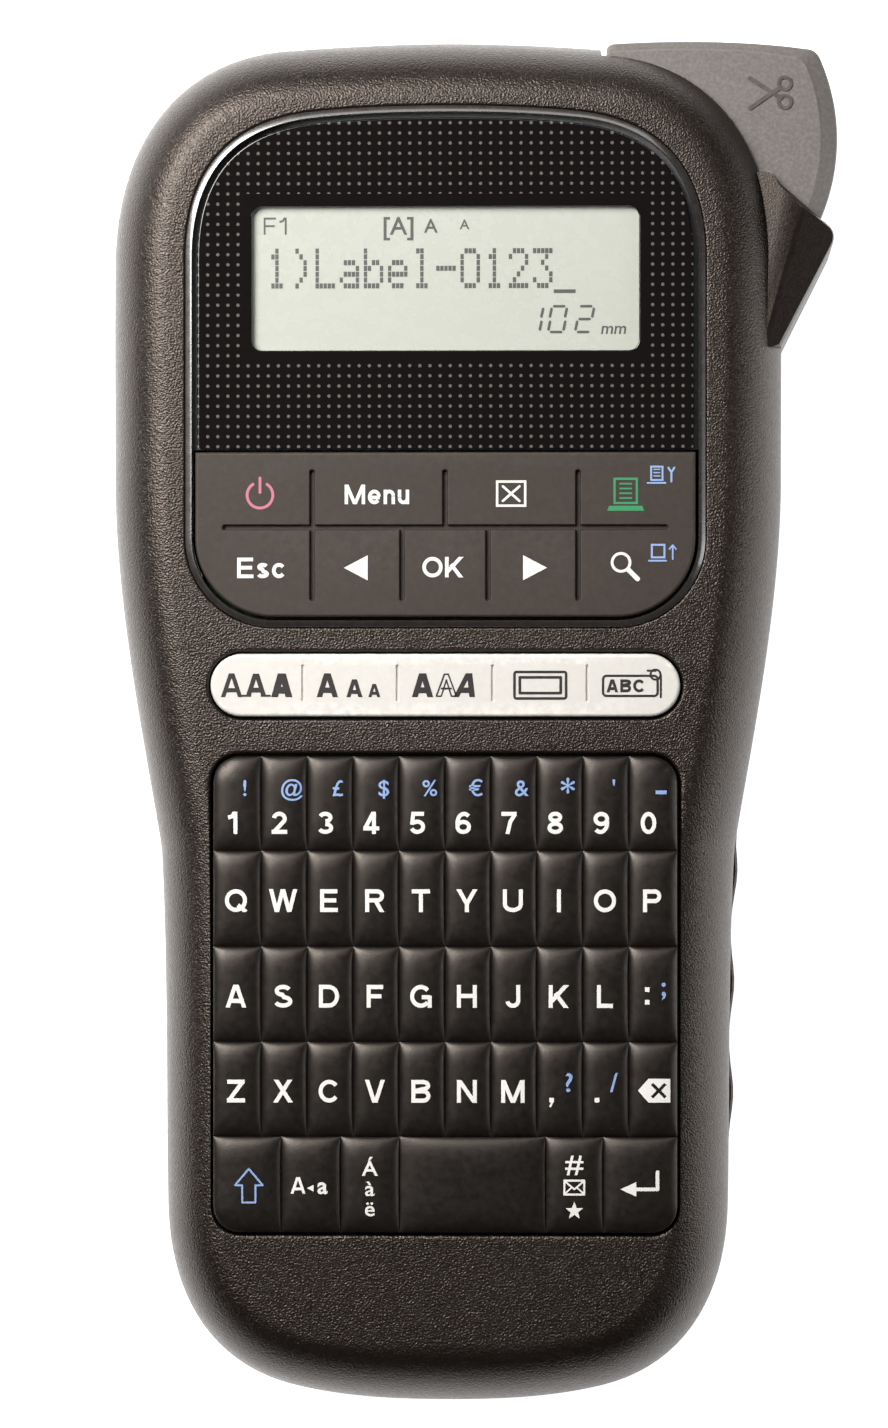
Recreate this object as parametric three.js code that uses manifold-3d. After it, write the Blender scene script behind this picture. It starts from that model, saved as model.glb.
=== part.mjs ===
// A handheld label maker lying on its back: keyboard and display face +Z, the head points to +Y.
// Millimetres. The body's own centre line is x = 0 until the whole group is shifted onto its base centre.
import * as THREE from "three";
import { mergeVertices } from "three/addons/utils/BufferGeometryUtils.js";
import Module from "manifold-3d";

const wasm = await Module();
wasm.setup();

// ---------- Driving dimensions ----------

const GAP = 0.3; // clearance between neighbouring pieces
const WALL = 2.2; // moulded shell thickness
const BODY_HALF_WIDTH = 50.9;
const BODY_TOP = 102.9;
const BODY_BOTTOM = -104.2;
const FACE_Z = 56.4; // flat front face of the case
const PARTING_Z = 30; // plane where the front and rear cases meet
const GRIP_RISE = 17; // how far the back is hollowed behind the keyboard
const GRIP_START_Y = -12;
const GRIP_BLEND = 45; // length over which the back rises into the grip

const FRONT_ROUND = { across: 9, deep: 13, steps: 4 };
const BACK_ROUND = { across: 9, deep: 11, steps: 4 };
const OUTLINE_POINTS = 27; // stations along one half of the body outline

const KEY_TOP_Z = 57.2;
const KEYBOARD_TOP_Z = 58;
const KEY_FOOT_Z = 52.4;
const KEY_GAP = 0.4;
const CONSOLE_KEYS_HALF_WIDTH = 37.9;
const CONTROL_ROWS_Y = [40.1, 28.7, 15.4];
const STRIP = { halfWidth: 35.5, low: 0.1, high: 9.6 };
const KEYBOARD = { halfWidth: 35.1, low: -77.9, high: -5.9, columns: 10, pitch: 6.95 };
const CHARACTER_ROWS_Y = [-5.9, -20.2, -34.7, -49.1, -63.4];
const BOTTOM_ROW_X = [-35.1, -24.8, -15.8, -6.9, 15.2, 23.9, 35.1];
const DISPLAY_OPENING = { halfWidth: 29.3, low: 55.5, high: 77.3 };

const LEVER_PIVOT = { x: 28.6, y: 87.9 };
const LEVER_RADIUS = 30.8;
const LEVER_LOW_Z = 10;
const LEVER_TOP_Z = 49.6;
const GUARD_REACH_X = 59.2;
const GUARD_TOP_Z = 52.4;

const TAPE_PLANE_Y = 80; // the printed tape leaves the head along +X in this plane
const CELL = { radius: 5.25, length: 44.5, pitch: 10.8, z: 26.2, low: -72.6 };

const GEAR_MODULE = 0.8;
const GEAR_LOW_Z = 30.4;
const GEAR_TOP_Z = 33.2;
const PLATEN = { x: 37.5, y: 76.4, radius: 3.2, teeth: 14 };
const IDLER = { teeth: 30, bearing: 209 };
const PINION = { teeth: 10, bearing: 200 };
const TAKEUP = { teeth: 20, bearing: 250 };

// ---------- Colours ----------

const finish = (color, roughness, metalness = 0) =>
  new THREE.MeshStandardMaterial({ color, roughness, metalness });

const CASE_BLACK = finish(0x2b2828, 0.55);
const LEVER_GREY = finish(0x6b6b6a, 0.5);
const TRIM_SATIN = finish(0xb9b5ae, 0.3, 0.6);
const LENS_BLACK = finish(0x121010, 0.08);
const LCD_GREEN = finish(0xd5dacb, 0.3);
const KEY_RUBBER = finish(0x232021, 0.4);
const KEY_DARK = finish(0x3a3736, 0.6);
const KEY_WHITE = finish(0xf0efee, 0.4);
const BOARD_GREEN = finish(0x1f5b3a, 0.5);
const INNER_PLASTIC = finish(0x4a4a4c, 0.6);
const PALE_PLASTIC = finish(0xd8d4c8, 0.5);
const STEEL = finish(0xb8b8b8, 0.3, 1);
const BRASS = finish(0xc8a050, 0.35, 1);
const ROLLER_RUBBER = finish(0x242424, 0.8);
const TAPE_WHITE = finish(0xf2f2ee, 0.5);
const CELL_WRAP = finish(0x355a8a, 0.35, 0.2);

// ---------- Solids ----------

function solid(geometry) {
  const bare = geometry.clone();
  bare.deleteAttribute("normal");
  bare.deleteAttribute("uv");
  const merged = mergeVertices(bare, 1e-4);
  return new wasm.Manifold(
    new wasm.Mesh({
      numProp: 3,
      vertProperties: merged.getAttribute("position").array,
      triVerts: new Uint32Array(merged.index.array),
    }),
  );
}

function geometryOf(made) {
  const mesh = made.getMesh();
  const geometry = new THREE.BufferGeometry();
  geometry.setAttribute("position", new THREE.BufferAttribute(mesh.vertProperties, 3));
  geometry.setIndex(new THREE.BufferAttribute(mesh.triVerts, 1));
  geometry.computeVertexNormals();
  return geometry;
}

function box(x0, x1, y0, y1, z0, z1) {
  const geometry = new THREE.BoxGeometry(x1 - x0, y1 - y0, z1 - z0);
  geometry.translate((x0 + x1) / 2, (y0 + y1) / 2, (z0 + z1) / 2);
  return solid(geometry);
}

function post(x, y, z0, z1, radius, sides = 16, topRadius = radius) {
  const geometry = new THREE.CylinderGeometry(topRadius, radius, z1 - z0, sides);
  geometry.rotateX(Math.PI / 2);
  geometry.translate(x, y, (z0 + z1) / 2);
  return solid(geometry);
}

function rodAlongY(x, z, y0, y1, radius, sides = 16) {
  const geometry = new THREE.CylinderGeometry(radius, radius, y1 - y0, sides);
  geometry.translate(x, (y0 + y1) / 2, z);
  return solid(geometry);
}

function rodAlongX(y, z, x0, x1, radius, sides = 16) {
  const geometry = new THREE.CylinderGeometry(radius, radius, x1 - x0, sides);
  geometry.rotateZ(Math.PI / 2);
  geometry.translate((x0 + x1) / 2, y, z);
  return solid(geometry);
}

function slab(shape, z0, z1, curveSegments = 3) {
  const geometry = new THREE.ExtrudeGeometry(shape, {
    depth: z1 - z0,
    bevelEnabled: false,
    curveSegments,
  });
  geometry.translate(0, 0, z0);
  return solid(geometry);
}

function roundedRectangle(x0, x1, y0, y1, corners) {
  const radii = typeof corners === "number" ? Array(4).fill(corners) : corners;
  const [leftLow, rightLow, rightHigh, leftHigh] = radii;
  const shape = new THREE.Shape();
  shape.moveTo(x0 + leftLow, y0);
  shape.lineTo(x1 - rightLow, y0);
  shape.absarc(x1 - rightLow, y0 + rightLow, rightLow, -Math.PI / 2, 0);
  shape.lineTo(x1, y1 - rightHigh);
  shape.absarc(x1 - rightHigh, y1 - rightHigh, rightHigh, 0, Math.PI / 2);
  shape.lineTo(x0 + leftHigh, y1);
  shape.absarc(x0 + leftHigh, y1 - leftHigh, leftHigh, Math.PI / 2, Math.PI);
  shape.lineTo(x0, y0 + leftLow);
  shape.absarc(x0 + leftLow, y0 + leftLow, leftLow, Math.PI, Math.PI * 1.5);
  return shape;
}

const smooth = (t) => t * t * (3 - 2 * t);
const clamp01 = (t) => Math.min(1, Math.max(0, t));

// ---------- The body's outer form ----------

// Right half of the plan outline, from the middle of the head round to the middle of the tail.
function bodyHalfOutline() {
  const path = new THREE.Path();
  path.moveTo(0, BODY_TOP);
  path.bezierCurveTo(8, BODY_TOP, 17, 102.4, 24, 101.9);
  path.bezierCurveTo(38, 101.2, 50.2, 91.5, BODY_HALF_WIDTH, 70);
  path.bezierCurveTo(51, 58, BODY_HALF_WIDTH, 47, BODY_HALF_WIDTH, 36);
  path.bezierCurveTo(BODY_HALF_WIDTH, 16, 45.6, -8, 43.8, -20);
  path.bezierCurveTo(42.8, -38, 43.1, -60, 42.8, -74);
  path.bezierCurveTo(42.6, -88, 36.5, -98.6, 24, -101.9);
  path.bezierCurveTo(16, -103.9, 8, BODY_BOTTOM, 0, BODY_BOTTOM);
  return path.getSpacedPoints(OUTLINE_POINTS);
}

// Height of the back surface: flat behind the head, raised behind the grip.
const backHeight = (y) => GRIP_RISE * smooth(clamp01((GRIP_START_Y - y) / GRIP_BLEND));

// The half outline moved inwards by a distance, with the inward direction found from its neighbours.
function insetHalf(half, distance) {
  return half.map((p, i) => {
    const before = i > 0 ? half[i - 1] : new THREE.Vector2(-half[1].x, half[1].y);
    const last = half.length - 1;
    const after = i < last ? half[i + 1] : new THREE.Vector2(-half[last - 1].x, half[last - 1].y);
    const along = after.clone().sub(before).normalize();
    const moved = new THREE.Vector2(p.x + along.y * distance, p.y - along.x * distance);
    if (i === 0 || i === last) moved.x = 0;
    return moved;
  });
}

// A closed form between the front and back surfaces: rings of the outline, stepped in over both roundings.
function bodyForm(inset) {
  const half = insetHalf(bodyHalfOutline(), inset);
  const last = half.length - 1;
  const front = { ...FRONT_ROUND, across: FRONT_ROUND.across - inset, deep: FRONT_ROUND.deep - inset };
  const back = { ...BACK_ROUND, across: BACK_ROUND.across - inset, deep: BACK_ROUND.deep - inset };
  const rings = [];
  for (let k = front.steps; k >= 0; k--) {
    const turn = (k / front.steps) * (Math.PI / 2);
    const z = FACE_Z - inset - front.deep * (1 - Math.sin(turn));
    rings.push(insetHalf(half, front.across * (1 - Math.cos(turn))).map((p) => [p.x, p.y, z]));
  }
  for (let k = 0; k <= back.steps; k++) {
    const turn = (k / back.steps) * (Math.PI / 2);
    const lift = inset + back.deep * (1 - Math.sin(turn));
    const ring = insetHalf(half, back.across * (1 - Math.cos(turn)));
    rings.push(ring.map((p) => [p.x, p.y, backHeight(p.y) + lift]));
  }
  const round = last * 2;
  const positions = [];
  for (const ring of rings) {
    ring.forEach((p) => positions.push(...p));
    for (let i = last - 1; i > 0; i--) positions.push(-ring[i][0], ring[i][1], ring[i][2]);
  }
  const index = [];
  for (let r = 0; r + 1 < rings.length; r++) {
    for (let i = 0; i < round; i++) {
      const a = r * round + i;
      const b = r * round + ((i + 1) % round);
      index.push(a, b, a + round, b, b + round, a + round);
    }
  }
  // The front and back skins run in strips from one side to the other at equal y.
  const cap = (start, flip) => {
    const right = (i) => start + i;
    const left = (i) => start + ((round - i) % round);
    const add = (a, b, c) => (flip ? index.push(a, c, b) : index.push(a, b, c));
    for (let i = 0; i < last; i++) {
      if (i > 0) add(left(i), right(i + 1), right(i));
      if (i + 1 < last) add(left(i), left(i + 1), right(i + 1));
    }
  };
  cap(0, false);
  cap((rings.length - 1) * round, true);
  const geometry = new THREE.BufferGeometry();
  geometry.setAttribute("position", new THREE.Float32BufferAttribute(positions, 3));
  geometry.setIndex(index);
  return solid(geometry);
}

const outer = bodyForm(0);
const inner = bodyForm(WALL);
const REACH = 130; // larger than the whole object, for cutting boxes
const above = (z) => box(-REACH, REACH, -REACH, REACH, z, REACH);
const below = (z) => box(-REACH, REACH, -REACH, REACH, -REACH, z);

// ---------- Outlines on the front face ----------

// The console outline follows the head at the top and turns round large corners at the bottom.
function consoleShape(inset) {
  const half = 39.4 - inset;
  const top = 92.6 - inset;
  const bottom = 13.6 + inset;
  const corner = 13.5 - inset;
  const shape = new THREE.Shape();
  shape.moveTo(0, top);
  shape.bezierCurveTo(-8, top, -15, top - 0.3, -21, top - 1);
  shape.bezierCurveTo(-33, top - 2.6, -half, top - 10, -half, top - 23);
  shape.lineTo(-half, bottom + corner);
  shape.absarc(-half + corner, bottom + corner, corner, Math.PI, Math.PI * 1.5);
  shape.lineTo(half - corner, bottom);
  shape.absarc(half - corner, bottom + corner, corner, Math.PI * 1.5, Math.PI * 2);
  shape.lineTo(half, top - 23);
  shape.bezierCurveTo(half, top - 10, 33, top - 2.6, 21, top - 1);
  shape.bezierCurveTo(15, top - 0.3, 8, top, 0, top);
  return shape;
}

const stripShape = (grow) => {
  const { halfWidth, low, high } = STRIP;
  const radius = (high - low) / 2 + grow - 0.05;
  return roundedRectangle(-halfWidth - grow, halfWidth + grow, low - grow, high + grow, radius);
};

const keyboardShape = (grow) => {
  const { halfWidth, low, high } = KEYBOARD;
  return roundedRectangle(-halfWidth - grow, halfWidth + grow, low - grow, high + grow, 4 + grow);
};

const LID = { halfWidth: 34.8, low: -76, high: 85, corner: 6 };
const lidShape = (grow) =>
  roundedRectangle(-LID.halfWidth - grow, LID.halfWidth + grow, LID.low - grow, LID.high + grow, LID.corner);

// ---------- Assembly helpers ----------

const labelMaker = new THREE.Group();
labelMaker.name = "label_maker";

function addPart(name, made, material) {
  const mesh = new THREE.Mesh(geometryOf(made), material);
  mesh.name = name;
  labelMaker.add(mesh);
}

// ---------- Cases ----------

const SCREWS = [
  { name: "screw_head_left", x: -22, y: 95.8 },
  { name: "screw_head_right", x: 10, y: 95.8 },
  { name: "screw_tail_left", x: -27, y: -84 },
  { name: "screw_tail_right", x: 27, y: -84 },
];
const SCREW = { headRadius: 2.6, shaftRadius: 1.3, headHeight: 1.8, seat: 4 };

// The corner of the head is open where the cutter lever swings.
const leverWindow = () => box(23.4, REACH, 67.2, REACH, LEVER_LOW_Z - 0.6, LEVER_TOP_Z + 0.6);

function frontCase() {
  const shell = outer.intersect(above(PARTING_Z + GAP / 2)).subtract(inner);
  const openings = slab(consoleShape(0), 48, 60, 5)
    .add(slab(stripShape(GAP), 48, 60, 4))
    .add(slab(keyboardShape(GAP), 48, 60));
  let made = shell.subtract(openings).subtract(leverWindow());
  for (const { x, y } of SCREWS) {
    const bossLow = backHeight(y) + SCREW.seat + 3;
    made = made.add(post(x, y, bossLow, FACE_Z - 1, 3.1, 12).intersect(outer));
    made = made.subtract(post(x, y, bossLow - 1, bossLow + 9, SCREW.shaftRadius + GAP, 10));
  }
  return made;
}

const DC_INLET = { y: 58, z: 22 };

function rearCase() {
  const shell = outer.intersect(below(PARTING_Z - GAP / 2)).subtract(inner);
  let made = shell
    .subtract(slab(lidShape(0), -5, 25))
    .subtract(leverWindow())
    .subtract(rodAlongX(DC_INLET.y, DC_INLET.z, -60, -44, 4.2));
  for (const { x, y } of SCREWS) {
    const back = backHeight(y);
    const seat = back + SCREW.seat;
    made = made.add(post(x, y, back + 1, seat + 2.7, 4.4, 12).intersect(outer));
    made = made.subtract(post(x, y, back - 3, seat, SCREW.headRadius + GAP, 12));
    made = made.subtract(post(x, y, seat - 1, seat + 4, SCREW.shaftRadius + GAP, 10));
  }
  return made;
}

// The cover lies a little inside the case's back, so that the case carries the weight.
function rearLid() {
  let made = outer
    .subtract(inner)
    .translate([0, 0, GAP])
    .intersect(slab(lidShape(-GAP), -5, 25));
  for (let i = 0; i < 4; i++) {
    const y = -58 - i * 3.2;
    made = made.subtract(box(-14, 14, y - 0.7, y + 0.7, GRIP_RISE - 2, GRIP_RISE + 1.1));
  }
  return made;
}

function addCases() {
  addPart("front_case", frontCase(), CASE_BLACK);
  addPart("rear_case", rearCase(), CASE_BLACK);
  addPart("rear_lid", rearLid(), CASE_BLACK);
  for (const { name, x, y } of SCREWS) {
    const seat = backHeight(y) + SCREW.seat;
    const head = post(x, y, seat - GAP - SCREW.headHeight, seat - GAP, SCREW.headRadius, 12);
    const slot = box(x - 2, x + 2, y - 0.4, y + 0.4, seat - 3, seat - GAP - SCREW.headHeight + 0.8);
    const shaft = post(x, y, seat - GAP - 0.5, seat + 10, SCREW.shaftRadius, 10);
    addPart(name, head.add(shaft).subtract(slot), STEEL);
  }
}

// ---------- Display and keys ----------

function addConsole() {
  const floorLow = 53.9;
  const rim = slab(consoleShape(GAP), floorLow, 57, 5).subtract(slab(consoleShape(0.9), 50, 60, 5));
  const floor = slab(consoleShape(0.8), floorLow, 54.9, 5).intersect(box(-50, 50, 41.2, 100, 50, 60));
  const { halfWidth, low, high } = DISPLAY_OPENING;
  const window = slab(roundedRectangle(-halfWidth, halfWidth, low, high, 1.6), 50, 60);
  addPart("console_trim", rim.add(floor).subtract(window), TRIM_SATIN);

  const lens = slab(consoleShape(1.2), 55.2, 56.6, 5).intersect(box(-50, 50, 40.6, 100, 50, 60));
  addPart("display_window", lens, LENS_BLACK);
  addPart("lcd_module", box(-31.5, 31.5, 53, 80, 49.2, 53.5), LCD_GREEN);
}

function keyBlock(shape, top, crown = 0.5) {
  const geometry = new THREE.ExtrudeGeometry(shape, {
    depth: top - crown - KEY_FOOT_Z,
    bevelEnabled: true,
    bevelThickness: crown,
    bevelSize: crown,
    bevelOffset: -crown,
    bevelSegments: 1,
    curveSegments: 2,
  });
  geometry.translate(0, 0, KEY_FOOT_Z);
  const tall = solid(geometry);
  return tall.intersect(above(KEY_FOOT_Z));
}

// One key that fills a cell of its row, less half a gap on each side.
function cellKey(x0, x1, y0, y1, corners, top, crown) {
  const g = KEY_GAP / 2;
  return keyBlock(roundedRectangle(x0 + g, x1 - g, y0 + g, y1 - g, corners), top, crown);
}

function addControlKeys() {
  const edge = CONSOLE_KEYS_HALF_WIDTH;
  const rows = [
    { names: ["power", "menu", "cancel", "print"], x: [-edge, -20.1, 0, 20.1, edge] },
    { names: ["escape", "left", "ok", "right", "preview"], x: [-edge, -20.1, -6.5, 6.5, 20.1, edge] },
  ];
  const low = slab(consoleShape(1.3), 40, 70, 5);
  rows.forEach(({ names, x }, row) => {
    names.forEach((name, i) => {
      const cell = [x[i], x[i + 1], CONTROL_ROWS_Y[row + 1], CONTROL_ROWS_Y[row]];
      const key = cellKey(...cell, 0.8, KEY_TOP_Z, 0.4);
      addPart("key_" + name, key.intersect(low), KEY_DARK);
    });
  });
}

function addFunctionKeys() {
  const { halfWidth, low, high } = STRIP;
  const names = ["font", "size", "style", "frame", "label"];
  const x = [-halfWidth, -21.5, -7.2, 7.2, 21.5, halfWidth];
  const pill = keyBlock(stripShape(-0.1), KEY_TOP_Z, 0.5);
  names.forEach((name, i) => {
    const cell = box(x[i] + KEY_GAP / 4, x[i + 1] - KEY_GAP / 4, low, high, 40, 70);
    addPart("key_" + name, pill.intersect(cell), KEY_WHITE);
  });
}

function pillow(x0, x1, y0, y1) {
  const geometry = new THREE.BoxGeometry(1, 1, 1);
  const position = geometry.getAttribute("position");
  for (let i = 0; i < position.count; i++) {
    const draft = position.getZ(i) > 0 ? 0.55 : 0;
    const wide = x1 - x0 - 2 * draft;
    const long = y1 - y0 - 2 * draft;
    const high = KEYBOARD_TOP_Z - 52.8;
    position.setXYZ(
      i,
      (x0 + x1) / 2 + position.getX(i) * wide,
      (y0 + y1) / 2 + position.getY(i) * long,
      52.8 + high * (position.getZ(i) + 0.5),
    );
  }
  return solid(geometry);
}

const MAT = { halfWidth: 36.5, low: -78.8, high: 41.6, lowZ: 49.2, topZ: 51 };

// The silicone mat carries the 40 character keys; its thin sheet also runs under the separate keys.
function keypadMat() {
  const { halfWidth, low, high, lowZ, topZ } = MAT;
  let made = slab(roundedRectangle(-halfWidth, halfWidth, low, high, 3), lowZ, topZ, 2);
  made = made.add(
    box(-KEYBOARD.halfWidth, KEYBOARD.halfWidth, CHARACTER_ROWS_Y[4] + 0.2, KEYBOARD.high, topZ - 0.5, 53),
  );
  const web = 0.25;
  for (let row = 0; row < 4; row++) {
    for (let column = 0; column < KEYBOARD.columns; column++) {
      const outerLeft = column === 0;
      const outerRight = column === KEYBOARD.columns - 1;
      const x0 = outerLeft ? -KEYBOARD.halfWidth : (column - 5) * KEYBOARD.pitch + web;
      const x1 = outerRight ? KEYBOARD.halfWidth : (column - 4) * KEYBOARD.pitch - web;
      const y0 = CHARACTER_ROWS_Y[row + 1] + web;
      const y1 = CHARACTER_ROWS_Y[row] - (row === 0 ? 0.1 : web);
      made = made.add(pillow(x0, x1, y0, y1));
    }
  }
  return made.intersect(slab(keyboardShape(0), 40, 70).add(box(-60, 60, -110, 110, 40, topZ)));
}

function addKeyboard() {
  addPart("keypad_mat", keypadMat(), KEY_RUBBER);
  const names = ["shift", "caps", "accent", "space", "symbol", "enter"];
  const field = slab(keyboardShape(0), 40, 70);
  names.forEach((name, i) => {
    const cell = [BOTTOM_ROW_X[i], BOTTOM_ROW_X[i + 1], KEYBOARD.low, CHARACTER_ROWS_Y[4]];
    addPart("key_" + name, cellKey(...cell, 0.9, KEYBOARD_TOP_Z, 0.6).intersect(field), KEY_RUBBER);
  });
}

// ---------- Cutter ----------

const polar = (centre, radius, degrees) => {
  const turn = THREE.MathUtils.degToRad(degrees);
  return [centre.x + radius * Math.cos(turn), centre.y + radius * Math.sin(turn)];
};

// Plan of the lever's top plate: hub, straight outer edge and an arc about the pivot.
function leverPlan(radius, lowDegrees) {
  const shape = new THREE.Shape();
  const { x, y } = LEVER_PIVOT;
  const highDegrees = 23.8;
  shape.moveTo(24.2, 93);
  shape.lineTo(x - 5.2, y);
  shape.absarc(x, y, 5.2, Math.PI, Math.PI * 1.75);
  shape.lineTo(...polar(LEVER_PIVOT, radius - 11, lowDegrees + 2));
  shape.lineTo(...polar(LEVER_PIVOT, radius, lowDegrees));
  const turn = THREE.MathUtils.degToRad;
  shape.absarc(x, y, radius, turn(lowDegrees), turn(highDegrees));
  shape.quadraticCurveTo(56.3, 101.5, 54.2, 101.7);
  shape.quadraticCurveTo(39, 103.4, 25.6, 102.5);
  shape.lineTo(24.2, 101.3);
  return shape;
}

function cutterLever() {
  const rimThickness = 2.4;
  const rimLowDegrees = -6;
  const plate = slab(leverPlan(LEVER_RADIUS, -24.7), LEVER_TOP_Z - 3, LEVER_TOP_Z, 6);
  const rimBlock = slab(leverPlan(LEVER_RADIUS, rimLowDegrees), LEVER_LOW_Z, LEVER_TOP_Z, 6);
  const hollow = post(LEVER_PIVOT.x, LEVER_PIVOT.y, 0, LEVER_TOP_Z - 2, LEVER_RADIUS - rimThickness, 48);
  const rim = rimBlock.subtract(hollow.intersect(box(0, 80, 60, 100.2, 0, 60)));
  const hub = post(LEVER_PIVOT.x, LEVER_PIVOT.y, 36, LEVER_TOP_Z, 5.2);
  return plate
    .add(rim)
    .add(hub)
    .subtract(post(LEVER_PIVOT.x, LEVER_PIVOT.y, 0, 60, 1.8, 16));
}

// The fin beside the tape exit, with a pocket that the lever's lower end swings into.
function cutterGuard() {
  const plan = new THREE.Shape();
  plan.moveTo(50.9, 56);
  plan.lineTo(58.7, 71.6);
  plan.quadraticCurveTo(GUARD_REACH_X + 0.4, 73.2, 58.2, 74.7);
  plan.lineTo(48.8, 82.9);
  plan.lineTo(46.5, 82.9);
  plan.lineTo(46.5, 56);
  const whole = slab(plan, 8, GUARD_TOP_Z, 3);
  const pocket = post(LEVER_PIVOT.x, LEVER_PIVOT.y, 9.6, LEVER_TOP_Z + 0.5, LEVER_RADIUS + 0.5, 64);
  return whole.subtract(pocket).subtract(outer.scale([1.006, 1.004, 1.006]));
}

// A round wire wound about a vertical axis.
class Helix extends THREE.Curve {
  constructor(centre, radius, lowZ, topZ, turns) {
    super();
    Object.assign(this, { centre, radius, lowZ, topZ, turns });
  }

  getPoint(t, target = new THREE.Vector3()) {
    const turn = t * this.turns * Math.PI * 2;
    return target.set(
      this.centre.x + this.radius * Math.cos(turn),
      this.centre.y + this.radius * Math.sin(turn),
      this.lowZ + (this.topZ - this.lowZ) * t,
    );
  }
}

function wire(curve, radius, steps) {
  const section = new THREE.Shape();
  section.absarc(0, 0, radius, 0, Math.PI * 2);
  const geometry = new THREE.ExtrudeGeometry(section, {
    extrudePath: curve,
    steps,
    curveSegments: 3,
  });
  return solid(geometry);
}

function addCutter() {
  addPart("cutter_lever", cutterLever(), LEVER_GREY);
  addPart("cutter_guard", cutterGuard(), CASE_BLACK);
  addPart("lever_pin", post(LEVER_PIVOT.x, LEVER_PIVOT.y, 29.9, 51.2, 1.5, 16), STEEL);
  const coil = new Helix(LEVER_PIVOT, 3.4, 31.2, 35, 4);
  addPart("lever_spring", wire(coil, 0.4, 52), STEEL);
  const blade = box(44.4, 45, 82.2, 88, 11, 25).add(box(43.2, 46.2, 85, 90, 10.4, 25.6));
  addPart("cutter_blade", blade, STEEL);
}

// ---------- Print mechanism ----------

// A spur gear with straight-sided teeth, a tooth centred on the given bearing.
function gear(centre, teeth, phase, bore) {
  const pitchRadius = (GEAR_MODULE * teeth) / 2;
  const root = pitchRadius - 0.9;
  const tip = pitchRadius + 0.55;
  const step = (Math.PI * 2) / teeth;
  const shape = new THREE.Shape();
  for (let i = 0; i < teeth; i++) {
    const middle = phase + i * step;
    const corner = (radius, share) => [
      centre.x + radius * Math.cos(middle + share * step),
      centre.y + radius * Math.sin(middle + share * step),
    ];
    if (i === 0) shape.moveTo(...corner(root, -0.25));
    else shape.lineTo(...corner(root, -0.25));
    shape.lineTo(...corner(tip, -0.09));
    shape.lineTo(...corner(tip, 0.09));
    shape.lineTo(...corner(root, 0.25));
  }
  const body = slab(shape, GEAR_LOW_Z, GEAR_TOP_Z);
  return bore ? body.subtract(post(centre.x, centre.y, 0, 60, bore, 12)) : body;
}

const radians = THREE.MathUtils.degToRad;
const meshDistance = (a, b) => (GEAR_MODULE * (a + b)) / 2;
const pointAt = ([x, y]) => ({ x, y });
const idlerCentre = pointAt(polar(PLATEN, meshDistance(PLATEN.teeth, IDLER.teeth), IDLER.bearing));
const pinionCentre = pointAt(
  polar(idlerCentre, meshDistance(IDLER.teeth, PINION.teeth), PINION.bearing),
);
const takeupCentre = pointAt(
  polar(idlerCentre, meshDistance(IDLER.teeth, TAKEUP.teeth), TAKEUP.bearing),
);

// Phase of a gear driven at a bearing by one whose tooth phase is known, so that tooth meets gap.
function matingPhase(driverPhase, driverTeeth, teeth, bearing) {
  const behind = (radians(bearing) - driverPhase) * (driverTeeth / teeth);
  return radians(bearing) + Math.PI + behind + Math.PI / teeth;
}

const platenPhase = radians(IDLER.bearing);
const idlerPhase = matingPhase(platenPhase, PLATEN.teeth, IDLER.teeth, IDLER.bearing);
const pinionPhase = matingPhase(idlerPhase, IDLER.teeth, PINION.teeth, PINION.bearing);
const takeupPhase = matingPhase(idlerPhase, IDLER.teeth, TAKEUP.teeth, TAKEUP.bearing);

const CHASSIS = { lowZ: 27.6, topZ: 29.4 };
const MOTOR = { lowZ: 34.2, topZ: 46.4, radius: 8 };

function chassis() {
  const { lowZ, topZ } = CHASSIS;
  let made = slab(roundedRectangle(-35, 44, 36, 90, 2), lowZ, topZ, 2);
  made = made.subtract(box(-40, 17, 84.4, 95, 20, 35)); // clears the case's head bosses
  made = made.add(box(32.4, 42.6, 87.4, 89, 8, lowZ + 0.5)); // wall behind the thermal head
  made = made.add(post(idlerCentre.x, idlerCentre.y, topZ - 0.5, 35, 1.2, 12)); // idler stub axle
  made = made.subtract(post(PLATEN.x, PLATEN.y, 20, 35, 1.3, 12));
  made = made.subtract(post(takeupCentre.x, takeupCentre.y, 20, 35, 1.8, 12));
  for (const [dx, dy] of [[-6.5, 3.7], [-6.5, -3.7]]) {
    const { x, y } = pinionCentre;
    const foot = box(-1.3, 1.3, -1.3, 1.3, topZ - 0.5, MOTOR.lowZ - GAP);
    made = made.add(foot.translate([x + dx, y + dy, 0]));
  }
  return made;
}

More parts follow.
